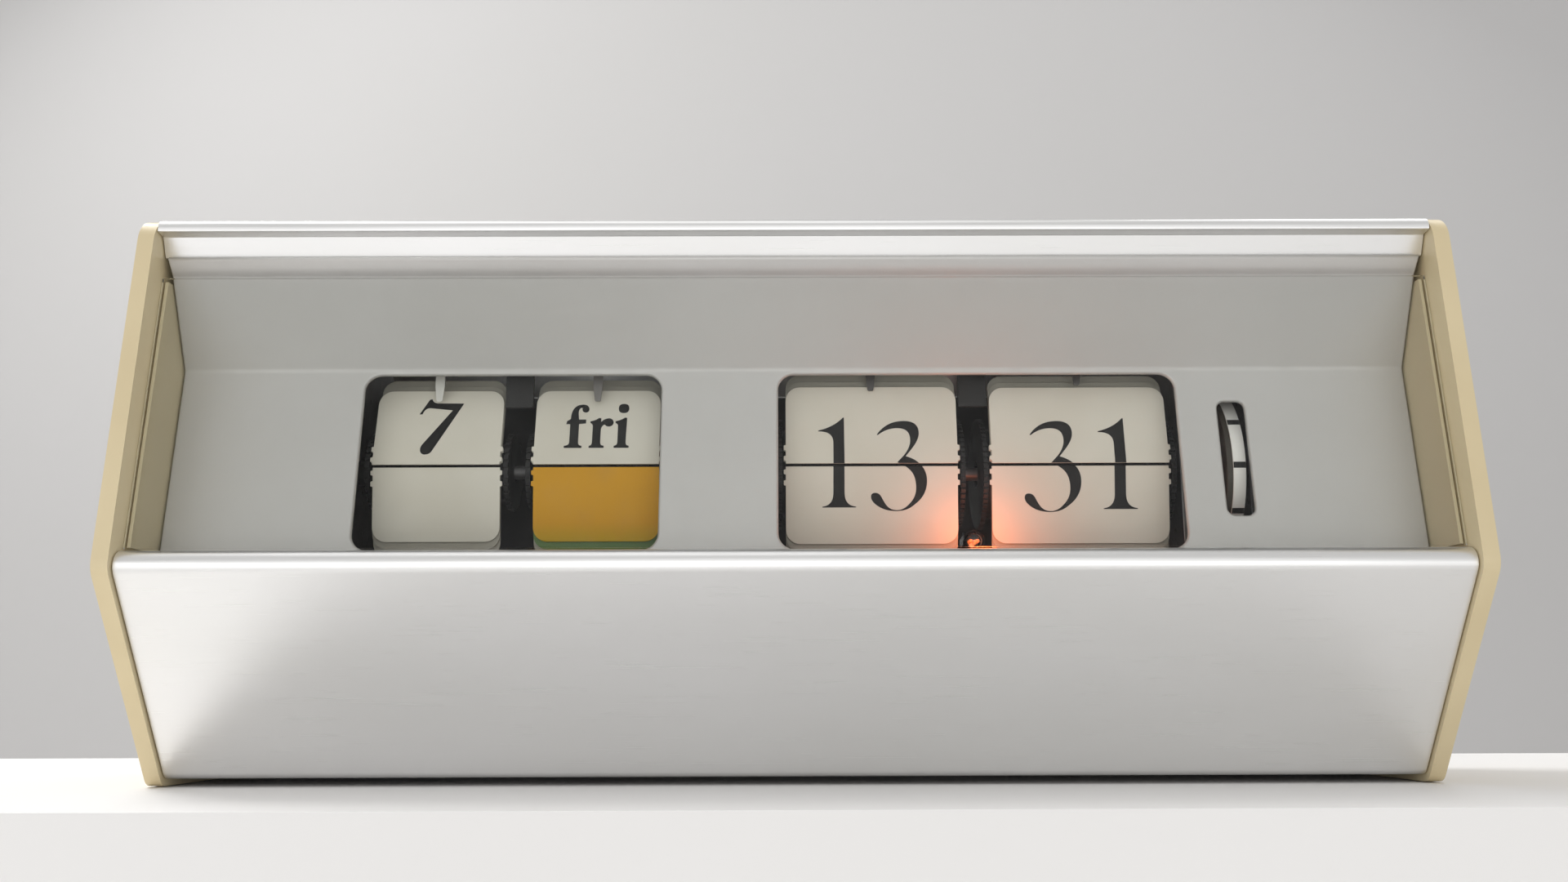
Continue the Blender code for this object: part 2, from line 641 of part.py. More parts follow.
def build_knobs():
    """Knurled knobs: two on one axis at the left, the setting knob at the right."""
    def knob(name, centre, radius, x0, x1, bore, lobes):
        outline = []
        count = lobes * 4
        for i in range(count):
            angle = 2 * math.pi * i / count
            reach = radius - 0.35 * (i % 4 > 1)
            outline.append((centre[0] + reach * math.cos(angle),
                            centre[1] + reach * math.sin(angle)))
        plate(name, [outline, circle(*centre, bore)], x0, x1, "dark_plastic")

    knob("date_knob", CALENDAR_AXIS, 10.0, -139.4, -135.5, 3.0 + GAP, 20)
    knob("day_knob", CALENDAR_AXIS, 7.0, -KNOB_END_X, -139.8, BORE, 14)
    knob("time_set_knob", SET_AXIS, 8.5, 135.6, KNOB_END_X, BORE, 17)


def build_lamp():
    x = 38.55
    z = 50.6
    reach = 2.4
    base = -10.4
    profile = ((0, base), (reach * 0.9, base), (reach, base - 0.6), (reach, base - 6.6),
               (reach * 0.86, base - 7.9), (reach * 0.5, base - 8.8), (0, base - 9.1))
    turned("neon_lamp", profile, (x, z), "lamp", 20, "Y")
    front = base + GAP
    outline = ((front, PLATE_LOW_Z), (front + 9.0, PLATE_LOW_Z),
               (front + 9.0, PLATE_LOW_Z + 1.5), (front + 2.0, PLATE_LOW_Z + 1.5),
               (front + 2.0, z + 2.8), (front, z + 2.8))
    plate("lamp_holder", [outline], x - 1.4, x + 1.4, "dark_plastic")


build_end_caps()
build_shells()
build_liners()
build_front()
build_rear()
build_frame()
build_rails()
build_cards()
build_display()
build_motion_work()
build_train()
build_seconds()
build_knobs()
build_lamp()
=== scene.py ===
"""Looks of the flip number clock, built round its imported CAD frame."""
import json
import math

import bmesh
import bpy
from mathutils import Matrix, Vector


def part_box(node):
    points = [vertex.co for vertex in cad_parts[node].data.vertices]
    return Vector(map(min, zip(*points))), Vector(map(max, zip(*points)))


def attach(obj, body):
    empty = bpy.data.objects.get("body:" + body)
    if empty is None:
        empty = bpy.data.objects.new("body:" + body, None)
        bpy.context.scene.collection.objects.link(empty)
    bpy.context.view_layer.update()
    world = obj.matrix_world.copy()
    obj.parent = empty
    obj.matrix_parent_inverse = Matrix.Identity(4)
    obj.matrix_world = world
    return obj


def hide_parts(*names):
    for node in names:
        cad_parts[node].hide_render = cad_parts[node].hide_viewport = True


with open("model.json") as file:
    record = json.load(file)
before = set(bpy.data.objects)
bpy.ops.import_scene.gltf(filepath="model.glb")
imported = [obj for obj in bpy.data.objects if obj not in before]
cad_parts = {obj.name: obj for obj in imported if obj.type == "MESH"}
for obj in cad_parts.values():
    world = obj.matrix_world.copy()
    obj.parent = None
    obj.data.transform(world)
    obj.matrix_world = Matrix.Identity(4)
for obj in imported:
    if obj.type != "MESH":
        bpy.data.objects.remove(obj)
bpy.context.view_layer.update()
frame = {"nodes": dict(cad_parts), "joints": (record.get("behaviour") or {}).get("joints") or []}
NODES = frame["nodes"]

MM = 0.001
UNITS = ("date", "day", "hour", "minute")


# ---- Measures read from the frame ----

def node_box(name):
    """The lowest and highest corner of a CAD node, in millimetres."""
    low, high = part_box(name)
    return low / MM, high / MM


def joint_place(name):
    found = next(j for j in frame["joints"] if j["name"] == name)
    return Vector(found["pos_m"]) / MM


HINGE = joint_place("hour_leaf_fall")
HINGE_Y, SPLIT_Z = HINGE.y, HINGE.z
TIME_AXIS = joint_place("minute_spin")
CALENDAR_AXIS = joint_place("date_spin")
SECONDS_AXIS = joint_place("seconds_spin")


# ---- Outlines ----

def rounded(corners, radii, steps=8):
    """A closed polygon with each corner turned into an arc of its radius."""
    points = []
    count = len(corners)
    for i, corner in enumerate(corners):
        radius = radii[i] if isinstance(radii, (tuple, list)) else radii
        if radius <= 0:
            points.append(corner)
            continue
        before = corners[i - 1]
        after = corners[(i + 1) % count]
        a = math.atan2(before[1] - corner[1], before[0] - corner[0])
        b = math.atan2(after[1] - corner[1], after[0] - corner[0])
        half = ((b - a + math.pi) % (2 * math.pi) - math.pi) / 2
        reach = radius / abs(math.sin(half))
        middle = (corner[0] + reach * math.cos(a + half), corner[1] + reach * math.sin(a + half))
        turn = math.pi / 2 - abs(half)
        start = a + half + math.pi
        side = -1 if half > 0 else 1
        for k in range(steps + 1):
            angle = start - side * turn + side * 2 * turn * k / steps
            points.append((middle[0] + radius * math.cos(angle),
                           middle[1] + radius * math.sin(angle)))
    return points


def box(a0, a1, b0, b1, radius=0.0, steps=8):
    corners = ((a0, b0), (a1, b0), (a1, b1), (a0, b1))
    return rounded(corners, radius, steps) if radius else list(corners)


def circle(a, b, radius, count=48):
    turn = 2 * math.pi / count
    return [(a + radius * math.cos(i * turn), b + radius * math.sin(i * turn))
            for i in range(count)]


# ---- Meshes ----

def new_object(name, mesh):
    obj = bpy.data.objects.new(name, mesh)
    bpy.context.scene.collection.objects.link(obj)
    return obj


def take(bm, name):
    """A bmesh as a new object, its lengths turned from millimetres to metres."""
    bmesh.ops.recalc_face_normals(bm, faces=bm.faces)
    if bm.calc_volume(signed=True) < 0:
        bmesh.ops.reverse_faces(bm, faces=bm.faces)
    mesh = bpy.data.meshes.new(name)
    bmesh.ops.scale(bm, vec=(MM, MM, MM), verts=bm.verts)
    bm.to_mesh(mesh)
    bm.free()
    return new_object(name, mesh)


def flat_solid(outlines, low, high, roll=0.0, grow=0.0):
    """A bmesh slab in millimetres: an outline with holes in XY, from low to high in Z.

    roll is the radius of its rounded edges, and grow widens the outline on every side.
    """
    curve = bpy.data.curves.new("outline", "CURVE")
    curve.dimensions = "2D"
    curve.fill_mode = "BOTH"
    curve.extrude = (high - low) / 2 - roll
    curve.bevel_depth = roll
    curve.bevel_resolution = 4
    curve.offset = grow - roll
    for outline in outlines:
        spline = curve.splines.new("POLY")
        spline.points.add(len(outline) - 1)
        for point, (a, b) in zip(spline.points, outline):
            point.co = (a, b, 0.0, 1.0)
        spline.use_cyclic_u = True
    holder = new_object("outline", curve)
    bpy.context.view_layer.update()
    graph = bpy.context.evaluated_depsgraph_get()
    mesh = bpy.data.meshes.new_from_object(holder.evaluated_get(graph))
    bpy.data.objects.remove(holder, do_unlink=True)
    bpy.data.curves.remove(curve)
    bm = bmesh.new()
    bm.from_mesh(mesh)
    bpy.data.meshes.remove(mesh)
    bmesh.ops.remove_doubles(bm, verts=bm.verts, dist=1e-4)
    bmesh.ops.translate(bm, vec=(0, 0, (low + high) / 2), verts=bm.verts)
    return bm


def soften(obj, width, segments=3, angle=40):
    """Rounded edges and smooth shading that leaves the flat faces flat."""
    bevel = obj.modifiers.new("edges", "BEVEL")
    bevel.width = width * MM
    bevel.segments = segments
    bevel.limit_method = "ANGLE"
    bevel.angle_limit = math.radians(angle)
    bevel.use_clamp_overlap = True
    smooth(obj)
    normals = obj.modifiers.new("normals", "WEIGHTED_NORMAL")
    normals.keep_sharp = True
    return obj


def smooth(obj, angle=None):
    """Smooth shading, with edges kept sharp above the angle."""
    mesh = obj.data
    mesh.polygons.foreach_set("use_smooth", [True] * len(mesh.polygons))
    if angle is not None:
        mesh.set_sharp_from_angle(angle=math.radians(angle))
    return obj


AXES = {
    "X": Matrix(((0, 0, 1), (1, 0, 0), (0, 1, 0))),
    "-Y": Matrix(((1, 0, 0), (0, 0, -1), (0, 1, 0))),
    "Z": Matrix.Identity(3),
}


def slab(name, outlines, low, high, axis="X", bevel=0.15, segments=3):
    """A flat piece whose outlines are (y, z), (x, z) or (x, y) for axis X, -Y or Z."""
    bm = flat_solid(outlines, low, high)
    bmesh.ops.transform(bm, matrix=AXES[axis].to_4x4(), verts=bm.verts)
    obj = take(bm, name)
    if bevel:
        soften(obj, bevel, segments)
    return obj


def lathe(name, profile, centre, steps=64, axis="X", closed=False):
    """A turned piece round an axis through centre. The profile is (radius, place) pairs."""
    bm = bmesh.new()
    rings = []
    for radius, along in profile:
        if radius < 1e-6:
            rings.append([bm.verts.new((0, 0, along))])
            continue
        turn = 2 * math.pi / steps
        rings.append([bm.verts.new((radius * math.cos(i * turn), radius * math.sin(i * turn),
                                    along)) for i in range(steps)])
    pairs = list(zip(rings, rings[1:]))
    if closed:
        pairs.append((rings[-1], rings[0]))
    for a, b in pairs:
        for i in range(steps):
            j = (i + 1) % steps
            corners = [a[i % len(a)], a[j % len(a)], b[j % len(b)], b[i % len(b)]]
            unique = list(dict.fromkeys(corners))
            if len(unique) > 2:
                bm.faces.new(unique)
    bmesh.ops.transform(bm, matrix=AXES[axis].to_4x4(), verts=bm.verts)
    shift = {"X": (0, centre[0], centre[1]), "-Y": (centre[0], 0, centre[1]),
             "Z": (centre[0], centre[1], 0)}[axis]
    bmesh.ops.translate(bm, vec=shift, verts=bm.verts)
    return smooth(take(bm, name), 35)


# ---- Finishes ----

class Finish:
    """A Principled material with helpers for its procedural nodes."""

    def __init__(self, name, colour, roughness, metallic=0.0, **sockets):
        self.material = bpy.data.materials.new(name)
        self.material.use_nodes = True
        self.tree = self.material.node_tree
        self.shader = self.tree.nodes["Principled BSDF"]
        self.colour = (*colour, 1.0)
        self.shader.inputs["Base Color"].default_value = self.colour
        self.shader.inputs["Roughness"].default_value = roughness
        self.shader.inputs["Metallic"].default_value = metallic
        for socket, value in sockets.items():
            self.shader.inputs[socket.replace("_", " ")].default_value = value
        self.height = None
        self.paint = None

    def node(self, kind, inputs=(), **settings):
        made = self.tree.nodes.new(kind)
        for key, value in settings.items():
            setattr(made, key, value)
        for key, value in dict(inputs).items():
            if isinstance(value, bpy.types.NodeSocket):
                self.tree.links.new(value, made.inputs[key])
            else:
                made.inputs[key].default_value = value
        return made

    def space(self, stretch=(1.0, 1.0, 1.0)):
        place = self.node("ShaderNodeTexCoord").outputs["Object"]
        return self.node("ShaderNodeMapping", {"Vector": place, "Scale": stretch}).outputs[0]

    def noise(self, scale, stretch=(1.0, 1.0, 1.0), detail=3.0):
        return self.node("ShaderNodeTexNoise", {"Vector": self.space(stretch), "Scale": scale,
                                                "Detail": detail}).outputs["Fac"]

    def between(self, factor, low, high, to_low=0.0, to_high=1.0):
        return self.node("ShaderNodeMapRange", {"Value": factor, 1: low, 2: high, 3: to_low,
                                                4: to_high}).outputs[0]

    def multiply(self, a, b):
        return self.node("ShaderNodeMath", {0: a, 1: b}, operation="MULTIPLY").outputs[0]

    def layer(self, factor, colour):
        """Another colour over what is there, where the factor is high."""
        under = self.paint or self.colour
        over = (*colour, 1.0) if isinstance(colour, tuple) else colour
        mix = self.node("ShaderNodeMix", {"Factor": factor, 6: under, 7: over}, data_type="RGBA")
        self.paint = mix.outputs[2]
        self.tree.links.new(self.paint, self.shader.inputs["Base Color"])
        return self

    def rough(self, factor, low, high):
        value = self.between(factor, 0.3, 0.7, low, high)
        self.tree.links.new(value, self.shader.inputs["Roughness"])
        return self

    def bump(self, height, depth_mm, strength=1.0):
        values = {"Height": height, "Distance": depth_mm * MM, "Strength": strength}
        if self.height is not None:
            values["Normal"] = self.height
        self.height = self.node("ShaderNodeBump", values).outputs[0]
        self.tree.links.new(self.height, self.shader.inputs["Normal"])
        return self

    def specks(self, colour, cells, size, share):
        """Sparse grains of dust: one in each share of the cells."""
        cell = self.node("ShaderNodeTexVoronoi", {"Vector": self.space(), "Scale": cells})
        chosen = self.node("ShaderNodeSeparateColor", {0: cell.outputs["Color"]}).outputs[0]
        near = self.between(cell.outputs["Distance"], size * 0.6, size, 1.0, 0.0)
        kept = self.between(chosen, 1.0 - share, 1.0 - share + 0.001)
        return self.layer(self.multiply(near, kept), colour)


def plastic(name, colour, shade, roughness, grain_mm=0.012, grain_scale=2200.0):
    """Moulded plastic: slow colour drift and fine texture."""
    made = Finish(name, colour, roughness)
    made.layer(made.between(made.noise(28.0), 0.35, 0.7), shade)
    fine = made.noise(grain_scale, detail=2.0)
    made.rough(made.noise(160.0), roughness - 0.06, roughness + 0.08)
    made.bump(fine, grain_mm, 0.6)
    return made


def make_finishes():
    made = {}

    metal = Finish("brushed_aluminium", (0.89, 0.89, 0.89), 0.34, 1.0)
    metal.layer(metal.between(metal.noise(9.0, (1, 3, 3)), 0.3, 0.7), (0.84, 0.84, 0.83))
    grain = metal.noise(1.0, (45, 5200, 5200), 4.0)
    metal.rough(grain, 0.27, 0.42)
    metal.bump(grain, 0.006, 0.35)
    metal.specks((0.06, 0.05, 0.04), 42.0, 0.016, 0.08)
    made["aluminium"] = metal

    cream = plastic("cream_plastic", (0.70, 0.59, 0.375), (0.64, 0.53, 0.325), 0.40)
    cream.specks((0.20, 0.15, 0.09), 70.0, 0.02, 0.10)
    made["cream"] = cream

    made["taupe"] = plastic("taupe_plastic", (0.74, 0.65, 0.44), (0.69, 0.60, 0.40), 0.62,
                            0.02, 1600.0)

    panel = Finish("silver_paint", (0.59, 0.58, 0.565), 0.46, 0.35)
    panel.layer(panel.between(panel.noise(14.0), 0.3, 0.7), (0.55, 0.54, 0.52))
    flake = panel.noise(5200.0, detail=1.0)
    panel.rough(panel.noise(300.0), 0.42, 0.52)
    panel.layer(panel.between(flake, 0.62, 0.75, 0.0, 0.35), (0.68, 0.68, 0.67))
    panel.bump(flake, 0.004, 0.4)
    panel.specks((0.12, 0.11, 0.09), 40.0, 0.018, 0.08)
    made["panel"] = panel

    black = plastic("black_plastic", (0.013, 0.013, 0.0135), (0.022, 0.021, 0.02), 0.5)
    black.shader.inputs["Specular IOR Level"].default_value = 0.25
    black.specks((0.22, 0.21, 0.19), 240.0, 0.03, 0.12)
    made["black"] = black
    made["knob"] = plastic("knob_plastic", (0.03, 0.03, 0.031), (0.045, 0.043, 0.04), 0.42,
                           0.02, 1500.0)

    # The second card colour is a darker copy of the first: painted shade for the cards that wait
    # behind the front one.
    for name, light, dark in (("card", (0.73, 0.70, 0.61), (0.69, 0.655, 0.56)),
                              ("painted_shade_card", (0.43, 0.41, 0.345), (0.38, 0.36, 0.30))):
        card = Finish(f"cream_{name}", light, 0.5, Specular_IOR_Level=0.3)
        card.layer(card.between(card.noise(60.0), 0.35, 0.7), dark)
        card.rough(card.noise(500.0), 0.46, 0.58)
        card.bump(card.noise(900.0), 0.006, 0.5)
        card.specks((0.35, 0.31, 0.25), 160.0, 0.03, 0.06)
        made[name] = card

    ink = Finish("ink", (0.014, 0.0135, 0.0135), 0.6, Specular_IOR_Level=0.2)
    ink.layer(ink.between(ink.noise(700.0), 0.5, 0.75), (0.026, 0.025, 0.024))
    made["ink"] = ink

    amber = Finish("amber_card", (0.66, 0.33, 0.012), 0.5, Specular_IOR_Level=0.2)
    place = amber.node("ShaderNodeSeparateXYZ", {0: amber.space()}).outputs[2]
    olive_z = SPLIT_Z - 12.0
    amber.layer(amber.between(place, olive_z * MM, (olive_z - 5.0) * MM), (0.52, 0.36, 0.015))
    amber.layer(amber.between(amber.noise(120.0), 0.55, 0.8), (0.61, 0.31, 0.02))
    amber.rough(amber.noise(500.0), 0.42, 0.52)
    amber.specks((0.30, 0.16, 0.03), 150.0, 0.05, 0.10)
    made["amber"] = amber

    green = Finish("green_card", (0.10, 0.20, 0.05), 0.48)
    green.layer(green.between(green.noise(90.0), 0.4, 0.7), (0.13, 0.22, 0.06))
    made["green"] = green

    steel = Finish("plated_steel", (0.52, 0.52, 0.53), 0.34, 1.0)
    steel.rough(steel.noise(350.0, (1, 6, 1)), 0.26, 0.44)
    steel.layer(steel.between(steel.noise(45.0), 0.5, 0.75), (0.42, 0.41, 0.40))
    steel.bump(steel.noise(1400.0), 0.004, 0.5)
    made["steel"] = steel

    # Darker steel for the axles: painted shade, so the axles read dark in the shaded gaps between
    # the units.
    dark = Finish("shade_dark_steel", (0.10, 0.10, 0.105), 0.45, 0.6)
    dark.layer(dark.between(dark.noise(200.0), 0.45, 0.7), (0.14, 0.135, 0.13))
    made["shade_dark_steel"] = dark

    brass = Finish("brass", (0.72, 0.53, 0.24), 0.3, 1.0)
    brass.layer(brass.between(brass.noise(70.0), 0.5, 0.75), (0.50, 0.35, 0.15))
    brass.rough(brass.noise(500.0), 0.24, 0.4)
    made["brass"] = brass

    white = plastic("white_band", (0.90, 0.885, 0.84), (0.85, 0.83, 0.785), 0.5)
    made["white"] = white
    made["brown"] = plastic("brown_plastic", (0.035, 0.027, 0.017), (0.05, 0.038, 0.022), 0.5)
    # The day finger's grey is painted shade: its colour is darkened to the shadow it sits in.
    made["painted_shade_finger"] = plastic("painted_shade_finger", (0.17, 0.16, 0.15), (0.14, 0.13, 0.12), 0.4)
    made["white_finger"] = plastic("white_finger", (0.72, 0.71, 0.67), (0.66, 0.65, 0.60), 0.42)
    made["dark_finger"] = plastic("dark_finger", (0.055, 0.052, 0.05), (0.08, 0.075, 0.07), 0.35)

    made["floor"] = floor = Finish("pale_floor", (0.88, 0.87, 0.86), 0.6)
    floor.layer(floor.between(floor.noise(6.0), 0.35, 0.65), (0.86, 0.85, 0.84))
    made["wall"] = wall = Finish("grey_wall", (0.52, 0.515, 0.515), 0.9)
    wall.layer(wall.between(wall.noise(2.0), 0.3, 0.7), (0.51, 0.505, 0.50))

    made["pane"] = clear_plastic("clear_acrylic", (0.975, 0.98, 0.975), 1.2, 0.006)
    made["bulb"] = clear_plastic("lamp_glass", (0.97, 0.96, 0.95), 1.35, 0.01)
    made["glow"] = glow = Finish("neon_glow", (1.0, 0.25, 0.08), 0.3)
    glow.shader.inputs["Emission Color"].default_value = (1.0, 0.20, 0.05, 1.0)
    glow.shader.inputs["Emission Strength"].default_value = 0.8
    glow.layer(glow.between(glow.noise(600.0), 0.4, 0.6), (1.0, 0.35, 0.12))
    return made


def clear_plastic(name, tint, index, dust):
    """A see-through skin: what is behind shows through a thin mirror and some dust."""
    made = Finish(name, (0.90, 0.90, 0.90), 0.06, 1.0)
    clear = made.node("ShaderNodeBsdfTransparent", {"Color": (*tint, 1.0)})
    gloss = made.node("ShaderNodeFresnel", {"IOR": index}).outputs[0]
    haze = made.between(made.noise(220.0), 0.45, 0.8, 0.0, dust)
    share = made.node("ShaderNodeMath", {0: gloss, 1: haze}, operation="ADD").outputs[0]
    mix = made.node("ShaderNodeMixShader", {0: share, 1: clear.outputs[0],
                                            2: made.shader.outputs[0]})
    made.rough(made.noise(150.0), 0.04, 0.10)
    surface = made.tree.nodes["Material Output"].inputs["Surface"]
    made.tree.links.new(mix.outputs[0], surface)
    return made


FINISH = make_finishes()


def finish(obj, name):
    obj.data.materials.clear()
    obj.data.materials.append(FINISH[name].material)
    return obj


def piece(obj, finish_name, body, *nodes):
    """A finished piece on its body, standing for the CAD nodes named."""
    finish(obj, finish_name)
    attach(obj, body)
    if nodes:
        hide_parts(*nodes)
    return obj


ROOT = "case_and_frame"


def weld_and_soften(node, width, segments=3, angle=30):
    """Rounded edges on a CAD node, by modifiers alone."""
    obj = NODES[node]
    weld = obj.modifiers.new("weld", "WELD")
    weld.merge_threshold = 0.00002
    if width:
        soften(obj, width, segments, angle)
    return obj


# ---- Case ----

def build_case():
    """The end caps, liners, shells, window and rear cover keep their CAD shape."""
    for side in ("left", "right"):
        finish(weld_and_soften(f"{side}_end_cap", 0.0), "cream")
        smooth(NODES[f"{side}_end_cap"])
        NODES[f"{side}_end_cap"].modifiers.new("normals", "WEIGHTED_NORMAL")
        finish(weld_and_soften(f"{side}_side_liner", 0.08, 2), "taupe")
    finish(weld_and_soften("lower_shell", 0.25), "aluminium")
    finish(weld_and_soften("top_shell", 0.15), "aluminium")
    finish(weld_and_soften("clear_window", 0.1, 2), "pane")
    finish(weld_and_soften("rear_cover", 0.3), "knob")


PANEL_FRONT = ((-38.0, 107.3), (-35.2, 104.3), (-26.0, 86.3), (-30.9, 44.0))
PANEL_BENDS = (1.6, 2.2)
PANEL_THICKNESS = 1.2
LIP = 0.55
WINDOW_Z = (47.5, 85.3)
WINDOW_RADIUS = 3.4
CALENDAR_WINDOW = (-91.2, -28.3)
TIME_WINDOW = (-3.5, 80.8)
SLOT_X = (89.4, 95.2)
SLOT_Z = (54.3, 79.0)
SLOT_RADIUS = 1.7


def bent_path(corners, radii, steps=10):
    """Points and unrolled lengths along an open path with rounded corners."""
    closed = rounded(list(corners), (0.0, *radii, 0.0), steps)
    lengths = [0.0]
    for a, b in zip(closed, closed[1:]):
        lengths.append(lengths[-1] + math.dist(a, b))
    return closed, lengths


def path_normals(path):
    """A front normal at each point, shared between its two sides."""
    sides = []
    for (ay, az), (by, bz) in zip(path, path[1:]):
        span = math.dist((ay, az), (by, bz))
        sides.append(((bz - az) / span, -(by - ay) / span))
    normals = [sides[0]]
    for (a, b), (c, d) in zip(sides, sides[1:]):
        size = math.hypot(a + c, b + d)
        normals.append(((a + c) / size, (b + d) / size))
    normals.append(sides[-1])
    return normals


def panel_openings(along):
    """Windows for the calendar and the time, and the seconds slot, on the unrolled sheet."""
    top, bottom = along(WINDOW_Z[1]), along(WINDOW_Z[0])
    slot_top, slot_bottom = along(SLOT_Z[1]), along(SLOT_Z[0])
    return [box(*CALENDAR_WINDOW, top, bottom, WINDOW_RADIUS, 10),
            box(*TIME_WINDOW, top, bottom, WINDOW_RADIUS, 10),
            box(*SLOT_X, slot_top, slot_bottom, SLOT_RADIUS, 10)]


def rolled_normal(vert):
    """The normal of a flat sheet with rolled edges, from a point's depth in it."""
    front = min(max((vert.co.z + LIP) / LIP, 0.0), 1.0)
    back = min(max((LIP - PANEL_THICKNESS - vert.co.z) / LIP, 0.0), 1.0)
    facing = front - back
    aside = Vector((vert.normal.x, vert.normal.y))
    if aside.length > 1e-6:
        aside.normalize()
    return (*(aside * math.sqrt(max(1 - facing * facing, 0.0))), facing)


def build_panel():
    """The face panel: cut flat, its edges rolled, then bent along its path."""
    low, high = node_box("face_panel")
    path, lengths = bent_path(PANEL_FRONT, PANEL_BENDS)
    normals = path_normals(path)
    total = lengths[-1]

    def along(z):
        """The unrolled length from the top at a height on the lower flat."""
        share = (z - path[-1][1]) / (path[-2][1] - path[-1][1])
        return total - share * (lengths[-1] - lengths[-2])

    outline = box(low.x, high.x, 0.0, total)
    bm = flat_solid([outline, *panel_openings(along)], -PANEL_THICKNESS, 0.0, LIP)
    for s in lengths[1:-1]:
        geometry = bm.verts[:] + bm.edges[:] + bm.faces[:]
        bmesh.ops.bisect_plane(bm, geom=geometry, dist=1e-5, plane_co=(0, s, 0),
                               plane_no=(0, 1, 0))
    bmesh.ops.recalc_face_normals(bm, faces=bm.faces)
    bm.normal_update()
    shading = []
    for vert in bm.verts:
        x, slope, facing = rolled_normal(vert)
        s = min(max(vert.co.y, 0.0), total)
        i = max(k for k in range(len(lengths) - 1) if lengths[k] <= s + 1e-6)
        t = min((s - lengths[i]) / (lengths[i + 1] - lengths[i]), 1.0)
        y = path[i][0] + (path[i + 1][0] - path[i][0]) * t
        z = path[i][1] + (path[i + 1][1] - path[i][1]) * t
        ny = normals[i][0] + (normals[i + 1][0] - normals[i][0]) * t
        nz = normals[i][1] + (normals[i + 1][1] - normals[i][1]) * t
        if i == len(lengths) - 2:
            ny, nz = normals[-1]
        vert.co = (vert.co.x, y + ny * vert.co.z, z + nz * vert.co.z)
        shading.append((x, slope * -nz + facing * ny, slope * ny + facing * nz))
    panel = smooth(take(bm, "face_panel_skin"))
    panel.data.normals_split_custom_set_from_vertices(shading)
    piece(panel, "panel", ROOT, "face_panel")


# ---- Cards ----

LEAF_LENGTH = 17.4
CARD = 0.34
CORNER = 3.1
EAR = 0.45
EAR_SPANS = ((0.9, 2.0), (3.2, 4.4))
EAR_SLOPE = 0.1
LOWER_LEAN = math.radians(8.0)
STEP_BACK = 0.5
PACK_FRONT = 0.6
STEP_OUT = 1.65
PACK_CARDS = 3
HINGE_MARGIN = 0.3
WAITING_MARGIN = 0.6
HIDDEN_MARGIN = 1.2
# The day's third lower card takes the darker card colour too, painted shade for a card behind the
# others.
DAY_LOWER = ("amber", "green", "painted_shade_card")
SHORTER = {"date": 1.2, "day": 1.2, "hour": 0.5, "minute": 0.5}


def unit_span(unit):
    low, high = node_box(f"{unit}_upper_leaves")
    return low.x, high.x


def unit_lean(unit):
    """How far the upper cards lean back, from the falling leaf's own box."""
    low, high = node_box(f"{unit}_falling_leaf")
    rise = high.z - SPLIT_Z
    back = (low.y + high.y) / 2 - HINGE_Y
    return math.atan2(back * 2, rise)


def card_outline(half, length, near):
    """A card with rounded far corners, and by the hinge two ears on each side if it is near."""
    side = EAR_SPANS[1][1]
    right = [(half, near)]
    if near < EAR_SPANS[0][0]:
        for low, high in EAR_SPANS:
            right += [(half, low), (half + EAR, low + EAR_SLOPE),
                      (half + EAR, high - EAR_SLOPE), (half, high)]
    corner = rounded(((half, side), (half, length), (-half, length), (-half, side)),
                     (0, CORNER, CORNER, 0), 10)
    left = [(-x, v) for x, v in reversed(right)]
    return right + corner[1:-1] + left


def card_matrix(middle, lean, up, back):
    """Card space to the row frame: u along X, v from the hinge outwards, n to the front."""
    along = Vector((0, math.sin(lean), up * math.cos(lean)))
    front = Vector((0, -math.cos(lean), up * math.sin(lean)))
    origin = Vector((middle, HINGE_Y, SPLIT_Z)) - front * back
    side = Vector((1, 0, 0))
    return Matrix(((side.x, along.x, front.x, origin.x), (side.y, along.y, front.y, origin.y),
                   (side.z, along.z, front.z, origin.z), (0, 0, 0, 1)))


def make_card(name, half, length, matrix, near):
    bm = flat_solid([card_outline(half, length, near)], -CARD / 2, CARD / 2)
    bmesh.ops.transform(bm, matrix=matrix, verts=bm.verts)
    return soften(take(bm, name), 0.09, 2)


